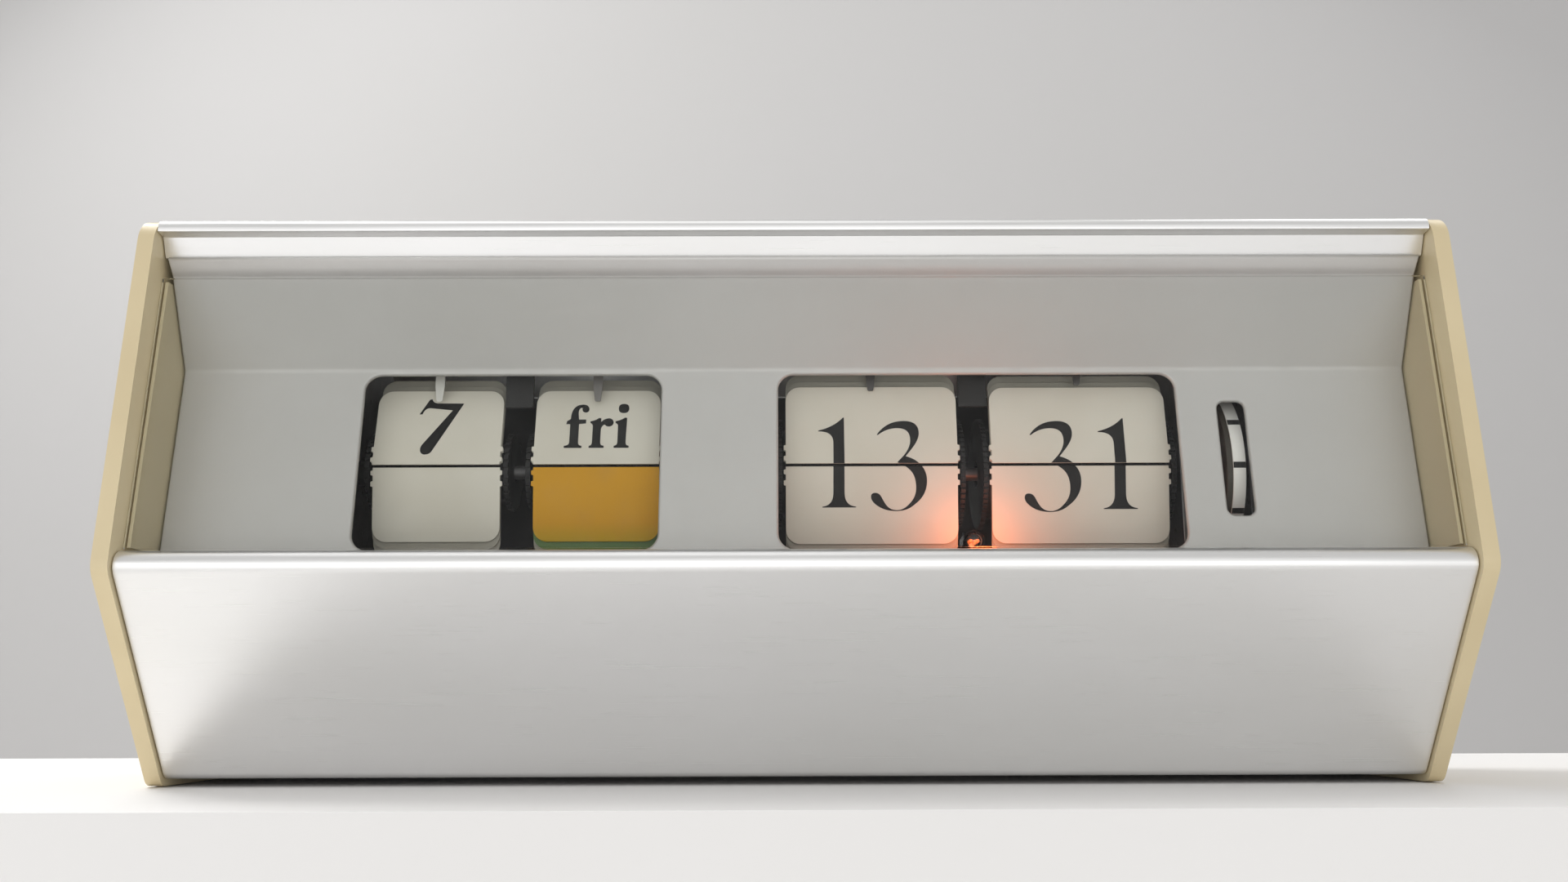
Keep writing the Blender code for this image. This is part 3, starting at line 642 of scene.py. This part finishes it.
# Letter outlines: (x, y) corners, and (x, y, 1) for points that pull the line into a curve.
GLYPHS = {
    "1": [[(0.0, 0.0), (0.372, 0.0), (0.372, 0.010), (0.25, 0.02, 1), (0.246, 0.15),
           (0.246, 1.0), (0.235, 1.0), (0.13, 0.89, 1), (-0.04, 0.852), (-0.043, 0.842),
           (0.115, 0.845, 1), (0.125, 0.73), (0.122, 0.15), (0.115, 0.02, 1), (0.0, 0.010)]],
    "3": [[(0.070, 0.845), (0.18, 1.0, 1), (0.373, 1.0), (0.538, 1.0, 1), (0.538, 0.864),
           (0.538, 0.79, 1), (0.46, 0.69), (0.385, 0.598), (0.47, 0.575, 1), (0.524, 0.527),
           (0.621, 0.46, 1), (0.621, 0.33), (0.621, 0.17, 1), (0.48, 0.07), (0.40, 0.0, 1),
           (0.28, 0.0), (0.17, 0.0, 1), (0.09, 0.045), (0.0, 0.10, 1), (0.0, 0.155),
           (0.0, 0.20, 1), (0.045, 0.20), (0.09, 0.20, 1), (0.115, 0.155),
           (0.165, 0.055, 1), (0.20, 0.036), (0.23, 0.011, 1), (0.29, 0.011),
           (0.36, 0.011, 1), (0.42, 0.075), (0.50, 0.15, 1), (0.50, 0.255),
           (0.50, 0.40, 1), (0.415, 0.465), (0.365, 0.505, 1), (0.29, 0.529),
           (0.365, 0.608), (0.44, 0.70, 1), (0.44, 0.785), (0.44, 0.918, 1),
           (0.30, 0.918), (0.18, 0.918, 1), (0.080, 0.838)]],
    "7": [[(0.0, 0.72), (0.055, 0.722), (0.09, 0.835, 1), (0.185, 0.835), (0.60, 0.795),
           (0.10, 0.17), (0.055, 0.09, 1), (0.09, 0.035), (0.13, -0.015, 1), (0.195, 0.0),
           (0.27, 0.01, 1), (0.30, 0.08), (0.787, 0.905), (0.787, 0.918), (0.33, 0.922),
           (0.225, 0.925, 1), (0.21, 1.0), (0.165, 0.99)]],
    "f": [[(0.0, 0.0), (0.385, 0.0), (0.385, 0.028), (0.30, 0.035, 1), (0.30, 0.12),
           (0.30, 0.56), (0.46, 0.575), (0.46, 0.645), (0.295, 0.645), (0.275, 0.80),
           (0.275, 0.925, 1), (0.345, 0.945), (0.40, 0.95, 1), (0.385, 0.905),
           (0.385, 0.84, 1), (0.455, 0.835), (0.53, 0.84, 1), (0.52, 0.915),
           (0.50, 1.0, 1), (0.385, 1.0), (0.13, 1.0, 1), (0.125, 0.66), (0.04, 0.61),
           (0.03, 0.56), (0.12, 0.56), (0.12, 0.12), (0.11, 0.035, 1), (0.0, 0.028)]],
    "r": [[(0.0, 0.0), (0.32, 0.0), (0.32, 0.028), (0.235, 0.035, 1), (0.235, 0.12),
           (0.235, 0.43), (0.27, 0.545, 1), (0.345, 0.55), (0.36, 0.50, 1), (0.44, 0.50),
           (0.53, 0.52, 1), (0.525, 0.595), (0.50, 0.68, 1), (0.41, 0.67),
           (0.30, 0.66, 1), (0.235, 0.555), (0.235, 0.675), (0.20, 0.68), (0.12, 0.62, 1),
           (0.01, 0.605), (0.01, 0.58), (0.07, 0.56, 1), (0.07, 0.50), (0.07, 0.12),
           (0.065, 0.035, 1), (0.0, 0.028)]],
    "i": [[(0.0, 0.0), (0.32, 0.0), (0.32, 0.028), (0.245, 0.035, 1), (0.245, 0.12),
           (0.26, 0.68), (0.23, 0.69), (0.14, 0.625, 1), (0.02, 0.605), (0.02, 0.58),
           (0.08, 0.56, 1), (0.08, 0.50), (0.08, 0.12), (0.075, 0.035, 1), (0.0, 0.028)],
          [(0.30, 0.918), (0.30, 1.015, 1), (0.19, 1.015), (0.08, 1.015, 1), (0.08, 0.918),
           (0.08, 0.82, 1), (0.19, 0.82), (0.30, 0.82, 1)]],
    "8": [[(0.31, 1.0), (0.56, 1.0, 1), (0.56, 0.78), (0.56, 0.62, 1), (0.42, 0.54),
           (0.62, 0.46, 1), (0.62, 0.27), (0.62, 0.0, 1), (0.31, 0.0), (0.0, 0.0, 1),
           (0.0, 0.27), (0.0, 0.46, 1), (0.20, 0.54), (0.06, 0.62, 1), (0.06, 0.78),
           (0.06, 1.0, 1)],
          [(0.31, 0.94), (0.42, 0.94, 1), (0.42, 0.78), (0.42, 0.62, 1), (0.31, 0.58),
           (0.20, 0.62, 1), (0.20, 0.78), (0.20, 0.94, 1)],
          [(0.31, 0.49), (0.48, 0.45, 1), (0.48, 0.27), (0.48, 0.06, 1), (0.31, 0.06),
           (0.14, 0.06, 1), (0.14, 0.27), (0.14, 0.45, 1)]],
    "2": [[(0.03, 0.72), (0.03, 1.0, 1), (0.31, 1.0), (0.60, 1.0, 1), (0.60, 0.73),
           (0.60, 0.55, 1), (0.22, 0.16), (0.50, 0.16), (0.58, 0.16, 1), (0.60, 0.28),
           (0.64, 0.28), (0.60, 0.0), (0.0, 0.0), (0.0, 0.05), (0.42, 0.47, 1), (0.42, 0.72),
           (0.42, 0.92, 1), (0.28, 0.92), (0.12, 0.92, 1), (0.08, 0.72)]],
    "4": [[(0.46, 1.0), (0.52, 1.0), (0.52, 0.36), (0.66, 0.36), (0.66, 0.24), (0.52, 0.24),
           (0.52, 0.0), (0.38, 0.0), (0.38, 0.24), (0.0, 0.24), (0.0, 0.34)],
          [(0.38, 0.80), (0.38, 0.36), (0.09, 0.36)]],
    "s": [[(0.40, 0.66), (0.37, 0.66), (0.35, 0.63, 1), (0.32, 0.65), (0.28, 0.68, 1),
           (0.22, 0.68), (0.03, 0.68, 1), (0.03, 0.50), (0.03, 0.38, 1), (0.20, 0.31),
           (0.33, 0.25, 1), (0.33, 0.16), (0.33, 0.03, 1), (0.23, 0.03), (0.08, 0.03, 1),
           (0.04, 0.23), (0.0, 0.23), (0.01, -0.01), (0.04, -0.01), (0.07, 0.04, 1),
           (0.12, 0.01), (0.17, -0.015, 1), (0.23, -0.015), (0.46, -0.015, 1), (0.46, 0.19),
           (0.46, 0.32, 1), (0.28, 0.40), (0.15, 0.46, 1), (0.15, 0.54), (0.15, 0.64, 1),
           (0.23, 0.64), (0.35, 0.64, 1), (0.38, 0.47), (0.42, 0.47)]],
    "a": [[(0.03, 0.52), (0.03, 0.68, 1), (0.24, 0.68), (0.44, 0.68, 1), (0.44, 0.48),
           (0.44, 0.12), (0.45, 0.03, 1), (0.52, 0.05), (0.52, 0.02), (0.46, -0.02, 1),
           (0.40, -0.01), (0.32, 0.0, 1), (0.30, 0.08), (0.22, -0.01, 1), (0.13, -0.01),
           (0.0, -0.01, 1), (0.0, 0.14), (0.0, 0.33, 1), (0.30, 0.40), (0.30, 0.50),
           (0.30, 0.64, 1), (0.21, 0.64), (0.12, 0.63, 1), (0.16, 0.52), (0.15, 0.44, 1),
           (0.09, 0.44), (0.03, 0.45, 1)],
          [(0.30, 0.34), (0.14, 0.28, 1), (0.14, 0.16), (0.14, 0.07, 1), (0.20, 0.07),
           (0.28, 0.08, 1), (0.30, 0.16)]],
    "t": [[(0.0, 0.64), (0.0, 0.60), (0.07, 0.60), (0.07, 0.12), (0.07, -0.01, 1),
           (0.20, -0.01), (0.32, -0.01, 1), (0.34, 0.15), (0.31, 0.15), (0.29, 0.06, 1),
           (0.25, 0.06), (0.21, 0.06, 1), (0.21, 0.13), (0.21, 0.60), (0.33, 0.60),
           (0.33, 0.66), (0.21, 0.66), (0.21, 0.88), (0.18, 0.88), (0.14, 0.72, 1)]],
}


def glyph_points(outline, steps=7):
    """An outline's line, with each pull point turned into a curve between its corners."""
    points = []
    count = len(outline)
    for i, spot in enumerate(outline):
        if len(spot) == 2:
            points.append(spot)
            continue
        a = outline[i - 1][:2]
        b = outline[(i + 1) % count][:2]
        for k in range(1, steps):
            t = k / steps
            x = (1 - t) ** 2 * a[0] + 2 * t * (1 - t) * spot[0] + t * t * b[0]
            y = (1 - t) ** 2 * a[1] + 2 * t * (1 - t) * spot[1] + t * t * b[1]
            points.append((x, y))
    return points


INK = 0.03


BOLD = {letter: 0.12 for letter in "fristaw"}


def lettering(name, letters, matrix, keep, face=1):
    """Printed letters on a card: (letter, u, v, width scale, height), one side of the hinge.

    keep is 1 for the half above the hinge and -1 for the half below it. face is 1 for the
    card's front and -1 for its back.
    """
    bm = bmesh.new()
    for letter, u, v, wide, tall in letters:
        lines = [[(u + x * wide, v + y * tall) for x, y in glyph_points(outline)]
                 for outline in GLYPHS[letter]]
        part = flat_solid(lines, 0.0, INK, grow=BOLD.get(letter, 0.0))
        mesh = bpy.data.meshes.new("letter")
        part.to_mesh(mesh)
        part.free()
        bm.from_mesh(mesh)
        bpy.data.meshes.remove(mesh)
    geometry = bm.verts[:] + bm.edges[:] + bm.faces[:]
    cut = bmesh.ops.bisect_plane(bm, geom=geometry, dist=1e-6, plane_co=(0, keep * HINGE_MARGIN, 0),
                                 plane_no=(0, keep, 0), clear_inner=True)
    if cut["geom_cut"]:
        bmesh.ops.holes_fill(bm, edges=[e for e in bm.edges if e.is_boundary])
    if keep < 0:
        bmesh.ops.scale(bm, vec=(1, -1, 1), verts=bm.verts)
    bmesh.ops.translate(bm, vec=(0, 0, CARD / 2), verts=bm.verts)
    bmesh.ops.transform(bm, matrix=matrix @ Matrix.Diagonal((1, 1, face, 1)), verts=bm.verts)
    return take(bm, name)


LETTERS = {
    "date": [("7", -4.55, 2.6, 11.9, 12.9)],
    "day": [("f", -6.95, 4.1, 9.3, 9.9), ("r", -1.6, 4.1, 9.3, 9.9),
            ("i", 3.75, 4.1, 9.3, 9.9)],
    "hour": [("1", -10.6, -9.1, 19.35, 19.6), ("3", -0.2, -9.9, 19.35, 19.6)],
    "minute": [("3", -12.0, -10.2, 19.6, 19.9), ("1", 4.9, -9.6, 19.6, 19.9)],
}
NEXT_LETTERS = {
    "date": [("8", -3.45, 2.5, 11.3, 12.7)],
    "day": [("s", -6.7, 4.0, 9.13, 9.9), ("a", -2.0, 4.0, 9.13, 9.9),
            ("t", 3.4, 4.0, 9.13, 9.9)],
    "hour": [("1", -10.6, -9.1, 19.35, 19.6), ("4", -0.6, -9.3, 19.35, 19.6)],
    "minute": [("3", -12.0, -10.2, 19.6, 19.9), ("2", 3.2, -9.6, 19.6, 19.9)],
}


def printed(name, letters, matrix, keep, body, face=1):
    piece(lettering(name, letters, matrix, keep, face), "ink", body)


def build_cards():
    """The falling card, the waiting and fallen packs and their prints, for each unit."""
    for unit in UNITS:
        x0, x1 = unit_span(unit)
        middle = (x0 + x1) / 2
        half = (x1 - x0) / 2
        lean = unit_lean(unit)
        body = f"{unit}_leaf"
        leaf = card_matrix(middle, lean, 1, 0.0)
        front = make_card(f"{unit}_card", half, LEAF_LENGTH, leaf, HINGE_MARGIN)
        piece(front, "card", body, f"{unit}_falling_leaf")
        printed(f"{unit}_card_print", LETTERS[unit], leaf, 1, body)
        for level, angle, up in (("upper", lean, 1), ("lower", LOWER_LEAN, -1)):
            for i in range(PACK_CARDS):
                back = PACK_FRONT + CARD / 2 + i * STEP_BACK
                matrix = card_matrix(middle, angle, up, back)
                length = LEAF_LENGTH + i * STEP_OUT
                if level == "lower":
                    length -= SHORTER[unit]
                near = HIDDEN_MARGIN
                if i == 0:
                    near = HINGE_MARGIN if level == "lower" else WAITING_MARGIN
                card = make_card(f"{unit}_{level}_card_{i + 1}", half, length, matrix, near)
                # Cards behind the front one take the darker card colour: painted shade where the
                # cards in front and the rail hide them.
                look = "card" if i == 0 else "painted_shade_card"
                if unit == "day" and level == "lower":
                    look = DAY_LOWER[i]
                nodes = [f"{unit}_{level}_leaves"] if i == 0 else []
                piece(card, look, ROOT, *nodes)
        back = PACK_FRONT + CARD / 2
        upper = card_matrix(middle, lean, 1, back)
        printed(f"{unit}_next_print", NEXT_LETTERS[unit], upper, 1, ROOT)
        if unit in ("hour", "minute"):
            lower = card_matrix(middle, LOWER_LEAN, -1, back)
            printed(f"{unit}_lower_print", LETTERS[unit], lower, -1, ROOT)
            printed(f"{unit}_back_print", NEXT_LETTERS[unit], leaf, -1, body, -1)


# ---- Movement ----

PLAIN_PARTS = {
    "steel": ("chassis_plate", "calendar_left_plate", "calendar_right_plate",
              "time_left_plate", "time_right_plate", "gearbox_plate", "motor_plate"),
    "brass": ("cannon_pinion", "minute_wheel", "hour_wheel", "motion_work_arbor",
              "third_arbor", "second_arbor", "seconds_arbor", "setting_arbor"),
    "black": ("calendar_finger_rail", "time_finger_rail", "lamp_holder"),
}
EDGE = {"steel": 0.12, "brass": 0.04, "black": 0.1}
# The day finger takes the grey that stands for its shadow: painted shade.
FINGERS = {"date": ("white_finger", 0.0), "day": ("painted_shade_finger", 0.0),
           "hour": ("dark_finger", 2.2), "minute": ("dark_finger", 3.3)}


def build_movement():
    """Plates, wheels, axles, the motor, screws and the gland keep their CAD shape."""
    for look, nodes in PLAIN_PARTS.items():
        for node in nodes:
            finish(weld_and_soften(node, EDGE[look], 2), look)
    for node in ("main_axle", "calendar_axle", "synchronous_motor", "rear_screw_1",
                 "rear_screw_2", "rear_screw_3", "rear_screw_4"):
        # The axles take the darker steel: painted shade for the dark gaps between the units.
        look = "shade_dark_steel" if node.endswith("axle") else "steel"
        finish(weld_and_soften(node, 0.0), look)
        smooth(NODES[node], 35)
    finish(weld_and_soften("cable_gland", 0.15, 2), "knob")


def build_fingers():
    """A tapered finger in front of each unit's upper cards, some shorter than others."""
    for unit, (look, shorter) in FINGERS.items():
        low, high = node_box(f"{unit}_finger")
        middle = (low.x + high.x) / 2
        wide = (high.x - low.x) / 2
        tip = low.z + shorter
        outline = rounded(((middle - wide, high.z), (middle - wide, tip + 3.4),
                           (middle - wide * 0.62, tip), (middle + wide * 0.62, tip),
                           (middle + wide, tip + 3.4), (middle + wide, high.z)),
                          (0.0, 2.0, 0.35, 0.35, 2.0, 0.0), 5)
        finger = slab(f"{unit}_finger_blade", [outline], -high.y, -low.y, "-Y", 0.1, 3)
        piece(finger, look, ROOT, f"{unit}_finger")


FLANGE = 1.0
BORE = 1.8
PIPE = 3.0
DRUM_SIDE = 1.7
HUB_DEPTH = 2.4
HUB_RIBS = 8
HUB_CHAMFER = 0.6
FLANGE_NOTCH = 0.55
NOTCHES = {"date": 31, "day": 31, "hour": 60, "minute": 60}


def notched(centre, radius, notches, depth):
    """A round flange with square notches that the cards' ears sit in."""
    points = []
    for i in range(notches):
        for share, reach in ((0.0, radius), (0.2, radius), (0.4, radius), (0.6, radius),
                             (0.62, radius - depth), (0.98, radius - depth)):
            angle = 2 * math.pi * (i + share) / notches
            points.append((centre[0] + reach * math.cos(angle),
                           centre[1] + reach * math.sin(angle)))
    return points


def build_drums():
    """A black hub between two notched flanges behind each unit's cards."""
    for unit in UNITS:
        axis = CALENDAR_AXIS if unit in ("date", "day") else TIME_AXIS
        centre = (axis.y, axis.z)
        low, high = node_box(f"{unit}_drum")
        radius = (high.z - low.z) / 2
        x0, x1 = unit_span(unit)
        left, right = x0 - DRUM_SIDE, x1 + DRUM_SIDE
        hub = radius - HUB_DEPTH
        body = f"{unit}_display" if unit != "minute" else "minute_train"
        profile = [(hub - HUB_CHAMFER, right - FLANGE), (hub, right - FLANGE - HUB_CHAMFER)]
        for k in range(1, HUB_RIBS):
            place = right - (right - left) * k / HUB_RIBS
            profile += [(hub, place + 0.5), (hub - 0.3, place + 0.3), (hub - 0.3, place - 0.3),
                        (hub, place - 0.5)]
        profile += [(hub, left + FLANGE + HUB_CHAMFER), (hub - HUB_CHAMFER, left + FLANGE)]
        if low.x < left - FLANGE:
            profile += [(PIPE, left + FLANGE), (PIPE, low.x), (BORE, low.x)]
        else:
            profile += [(BORE, left + FLANGE)]
        profile += [(BORE, right - FLANGE)]
        barrel = lathe(f"{unit}_barrel", profile, centre, 72, closed=True)
        piece(barrel, "black", body, f"{unit}_drum")
        for side, x in (("left", left), ("right", right - FLANGE)):
            inner = circle(*centre, PIPE + 0.1 if side == "left" else BORE)
            outline = notched(centre, radius, NOTCHES[unit], FLANGE_NOTCH)
            flange = slab(f"{unit}_{side}_flange", [outline, inner], x, x + FLANGE, bevel=0.08)
            piece(flange, "black", body)


def build_lamp():
    """A clear bulb on a foot, with two glowing electrodes."""
    low, high = node_box("neon_lamp")
    x = (low.x + high.x) / 2
    z = (low.z + high.z) / 2
    radius = (high.z - low.z) / 2
    skin = 0.3
    outer = [(0.0, low.y), (radius * 0.45, low.y + 0.25), (radius * 0.8, low.y + 0.9),
             (radius, low.y + 2.2), (radius, high.y - 0.5), (radius - 0.5, high.y)]
    inner = [(radius - skin - 0.5, high.y), (radius - skin, high.y - 0.5),
             (radius - skin, low.y + 2.4), (radius * 0.7, low.y + 1.2),
             (radius * 0.4, low.y + 0.6), (0.0, low.y + 0.4)]
    profile = [(r, -y) for r, y in outer + inner]
    bulb = lathe("lamp_bulb", profile, (x, z), 40, "-Y")
    piece(bulb, "bulb", ROOT, "neon_lamp")
    foot = [(0.0, high.y - 0.4), (radius - 0.7, high.y - 0.4), (radius - 0.7, high.y - 1.4),
            (0.9, high.y - 2.0), (0.0, high.y - 2.0)]
    piece(lathe("lamp_foot", [(r, -y) for r, y in foot], (x, z), 32, "-Y"), "steel", ROOT)
    for side, shift in (("left", -0.75), ("right", 0.75)):
        rod = [(0.0, low.y + 2.0), (0.3, low.y + 2.1), (0.42, low.y + 2.5),
               (0.42, high.y - 2.6), (0.2, high.y - 2.2), (0.0, high.y - 2.2)]
        electrode = lathe(f"lamp_{side}_electrode", [(r, -y) for r, y in rod],
                          (x + shift, z), 20, "-Y")
        piece(electrode, "glow", ROOT)


def build_knobs():
    """Knobs with a fine knurl between two plain rims and a dished end."""
    for node, sign in (("date_knob", -1), ("day_knob", -1), ("time_set_knob", 1)):
        low, high = node_box(node)
        centre = ((low.y + high.y) / 2, (low.z + high.z) / 2)
        radius = (high.z - low.z) / 2
        bore = 3.3 if node == "date_knob" else BORE
        near, far = (high.x, low.x) if sign < 0 else (low.x, high.x)
        body = {"date_knob": "date_display", "day_knob": "day_display",
                "time_set_knob": "time_setting"}[node]
        core = radius - 0.35
        dish = radius * 0.62
        profile = [(bore, near), (core - 0.4, near), (core, near + sign * 0.4),
                   (core, far - sign * 0.5), (core - 0.5, far), (dish + 0.4, far),
                   (dish, far - sign * 0.35), (bore + 0.4, far - sign * 0.35), (bore, far)]
        turned = lathe(f"{node}_core", profile, centre, 72, closed=True)
        piece(turned, "knob", body, node)
        ridges = round(radius * 6)
        outline = []
        for i in range(ridges):
            for share, reach in ((0.0, radius - 0.3), (0.25, radius), (0.55, radius),
                                 (0.8, radius - 0.3)):
                angle = 2 * math.pi * (i + share) / ridges
                outline.append((centre[0] + reach * math.cos(angle),
                                centre[1] + reach * math.sin(angle)))
        a, b = sorted((near + sign * 0.7, far - sign * 0.8))
        ring = slab(f"{node}_knurl", [outline, circle(*centre, core - 0.2, 72)], a, b,
                    bevel=0.0)
        piece(ring, "knob", body)


BAND_START = 1.3
BAND_SKIN = 0.25
HUB_RING = 3.4
SECONDS_TICKS = 12
TICK_HALF_ANGLE = math.radians(1.95)
FIRST_TICK = math.radians(27.6)


def build_seconds():
    """A brown drum with a white band round its rim and dark ticks on the band."""
    low, high = node_box("seconds_drum")
    rim = (high.z - low.z) / 2
    centre = (SECONDS_AXIS.y, SECONDS_AXIS.z)
    band_low, band_high = low.x + BAND_START, high.x
    inner = rim - BAND_SKIN
    profile = [(inner - 1.0, high.x), (inner, high.x - 0.1), (inner, low.x + 0.15),
               (inner - 0.15, low.x), (HUB_RING, low.x), (2.2, low.x + 0.3),
               (BORE, low.x + 0.6), (BORE, low.x + 3.0), (HUB_RING, low.x + 3.0),
               (HUB_RING, low.x + 1.2),
               (inner - 1.0, low.x + 1.2)]
    hub = lathe("seconds_hub", profile, centre, 96, closed=True)
    piece(hub, "brown", "seconds_display", "seconds_drum")
    ring = [(rim, band_high - 0.05), (rim, band_low + 0.05), (rim - 0.05, band_low),
            (inner + 0.02, band_low), (inner + 0.02, band_high), (rim - 0.05, band_high)]
    piece(lathe("seconds_band", ring, centre, 144, closed=True), "white", "seconds_display")
    bm = bmesh.new()
    for k in range(SECONDS_TICKS):
        middle = math.pi - FIRST_TICK - k * 2 * math.pi / SECONDS_TICKS
        rows = []
        for j in range(5):
            angle = middle + TICK_HALF_ANGLE * (j / 2 - 1)
            rows.append([bm.verts.new((x, centre[0] + r * math.cos(angle),
                                       centre[1] + r * math.sin(angle)))
                         for x, r in ((band_low + 0.05, rim - 0.01), (band_low + 0.05, rim + 0.03),
                                      (band_high - 0.05, rim + 0.03),
                                      (band_high - 0.05, rim - 0.01))])
        for a, b in zip(rows, rows[1:]):
            for i in range(4):
                j = (i + 1) % 4
                bm.faces.new((a[i], a[j], b[j], b[i]))
        bm.faces.new(rows[0])
        bm.faces.new(rows[-1][::-1])
    piece(take(bm, "seconds_ticks"), "ink", "seconds_display")


# ---- Stage, lights and camera ----

SHELF_HALF = 900.0
SHELF_FRONT = -80.0
SHELF_BACK = 130.0
SHELF_THICK = 60.0
WALL_Y = 900
WALL_HALF = 3500
GROUND_HALF = 1500
GROUND_Z = -500


def build_stage():
    """A pale shelf under the clock, a grey wall behind it and pale ground in front."""
    outline = box(-SHELF_HALF, SHELF_HALF, SHELF_FRONT, SHELF_BACK)
    shelf = slab("shelf", [outline], -SHELF_THICK, -0.2, "Z", 1.0)
    finish(shelf, "floor")
    bm = bmesh.new()
    corners = [(-WALL_HALF, WALL_Y, -1200), (WALL_HALF, WALL_Y, -1200),
               (WALL_HALF, WALL_Y, 2600), (-WALL_HALF, WALL_Y, 2600)]
    bm.faces.new([bm.verts.new(c) for c in corners])
    finish(take(bm, "backdrop"), "wall")
    bm = bmesh.new()
    corners = [(-GROUND_HALF, -GROUND_HALF, GROUND_Z), (GROUND_HALF, -GROUND_HALF, GROUND_Z),
               (GROUND_HALF, WALL_Y, GROUND_Z), (-GROUND_HALF, WALL_Y, GROUND_Z)]
    bm.faces.new([bm.verts.new(c) for c in corners])
    finish(take(bm, "ground"), "floor")


def area_light(name, place, target, size, power, colour=(1, 1, 1), size_y=None):
    light = bpy.data.lights.new(name, "AREA")
    light.energy = power
    light.color = colour
    light.size = size
    if size_y:
        light.shape = "RECTANGLE"
        light.size_y = size_y
    holder = bpy.data.objects.new(name, light)
    bpy.context.scene.collection.objects.link(holder)
    holder.location = place
    holder.rotation_euler = (Vector(target) - Vector(place)).to_track_quat("-Z", "Y").to_euler()


def build_lights():
    """A window high behind the left end, a pale room in front and the lamp's glow."""
    middle = (0.0, 0.0, 0.05)
    area_light("key", (-0.75, 0.30, 0.95), middle, 0.5, 9.3, (1.0, 0.995, 0.985))
    area_light("right_fill", (0.60, 0.35, 0.95), middle, 0.5, 1.8)
    area_light("front", (0.1, -1.2, 0.35), (0.0, 0.0, 0.07), 0.9, 1.0)
    area_light("front_low", (-0.3, -1.25, -0.35), (0.0, 0.0, 0.06), 3.0, 11.0, size_y=1.6)
    area_light("wall", (-0.3, 0.1, 1.4), (0.0, 0.9, 0.3), 1.2, 2.6)
    lamp = bpy.data.lights.new("neon", "POINT")
    lamp.energy = 0.0082
    lamp.color = (1.0, 0.20, 0.055)
    lamp.shadow_soft_size = 0.003
    holder = bpy.data.objects.new("neon", lamp)
    bpy.context.scene.collection.objects.link(holder)
    low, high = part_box("neon_lamp")
    holder.location = ((low.x + high.x) / 2, low.y - 0.0095, (low.z + high.z) / 2 - 0.0015)
    world = bpy.data.worlds.new("studio")
    bpy.context.scene.world = world
    world.use_nodes = True
    background = world.node_tree.nodes["Background"]
    background.inputs[0].default_value = (1.0, 0.99, 0.98, 1.0)
    background.inputs[1].default_value = 0.62


CAMERA_PLACE = Vector((-3.24, -301.54, 17.18))
CAMERA_TURN = (math.radians(11.02), math.radians(0.20), math.radians(-0.20))
CAMERA_LENS = 30.52


def build_camera():
    """Low and close in front, tipped up, as seen from a seat by the shelf."""
    place = CAMERA_PLACE
    pitch, yaw, roll = CAMERA_TURN
    forward = Vector((math.sin(yaw) * math.cos(pitch), math.cos(yaw) * math.cos(pitch),
                      math.sin(pitch)))
    level = Vector((math.cos(yaw), -math.sin(yaw), 0))
    up = level.cross(forward)
    right = math.cos(roll) * level + math.sin(roll) * up
    top = math.cos(roll) * up - math.sin(roll) * level
    camera = bpy.data.cameras.new("camera")
    camera.lens = CAMERA_LENS
    camera.sensor_width = 36.0
    camera.clip_start = 0.01
    camera.clip_end = 20.0
    holder = bpy.data.objects.new("camera", camera)
    bpy.context.scene.collection.objects.link(holder)
    holder.matrix_world = Matrix((
        (right.x, top.x, -forward.x, place.x * MM),
        (right.y, top.y, -forward.y, place.y * MM),
        (right.z, top.z, -forward.z, place.z * MM),
        (0, 0, 0, 1)))
    bpy.context.scene.camera = holder
    bpy.context.scene.view_settings.view_transform = "Standard"


build_camera()
build_case()
build_panel()
build_cards()
build_movement()
build_fingers()
build_drums()
build_lamp()
build_knobs()
build_seconds()
build_stage()
build_lights()
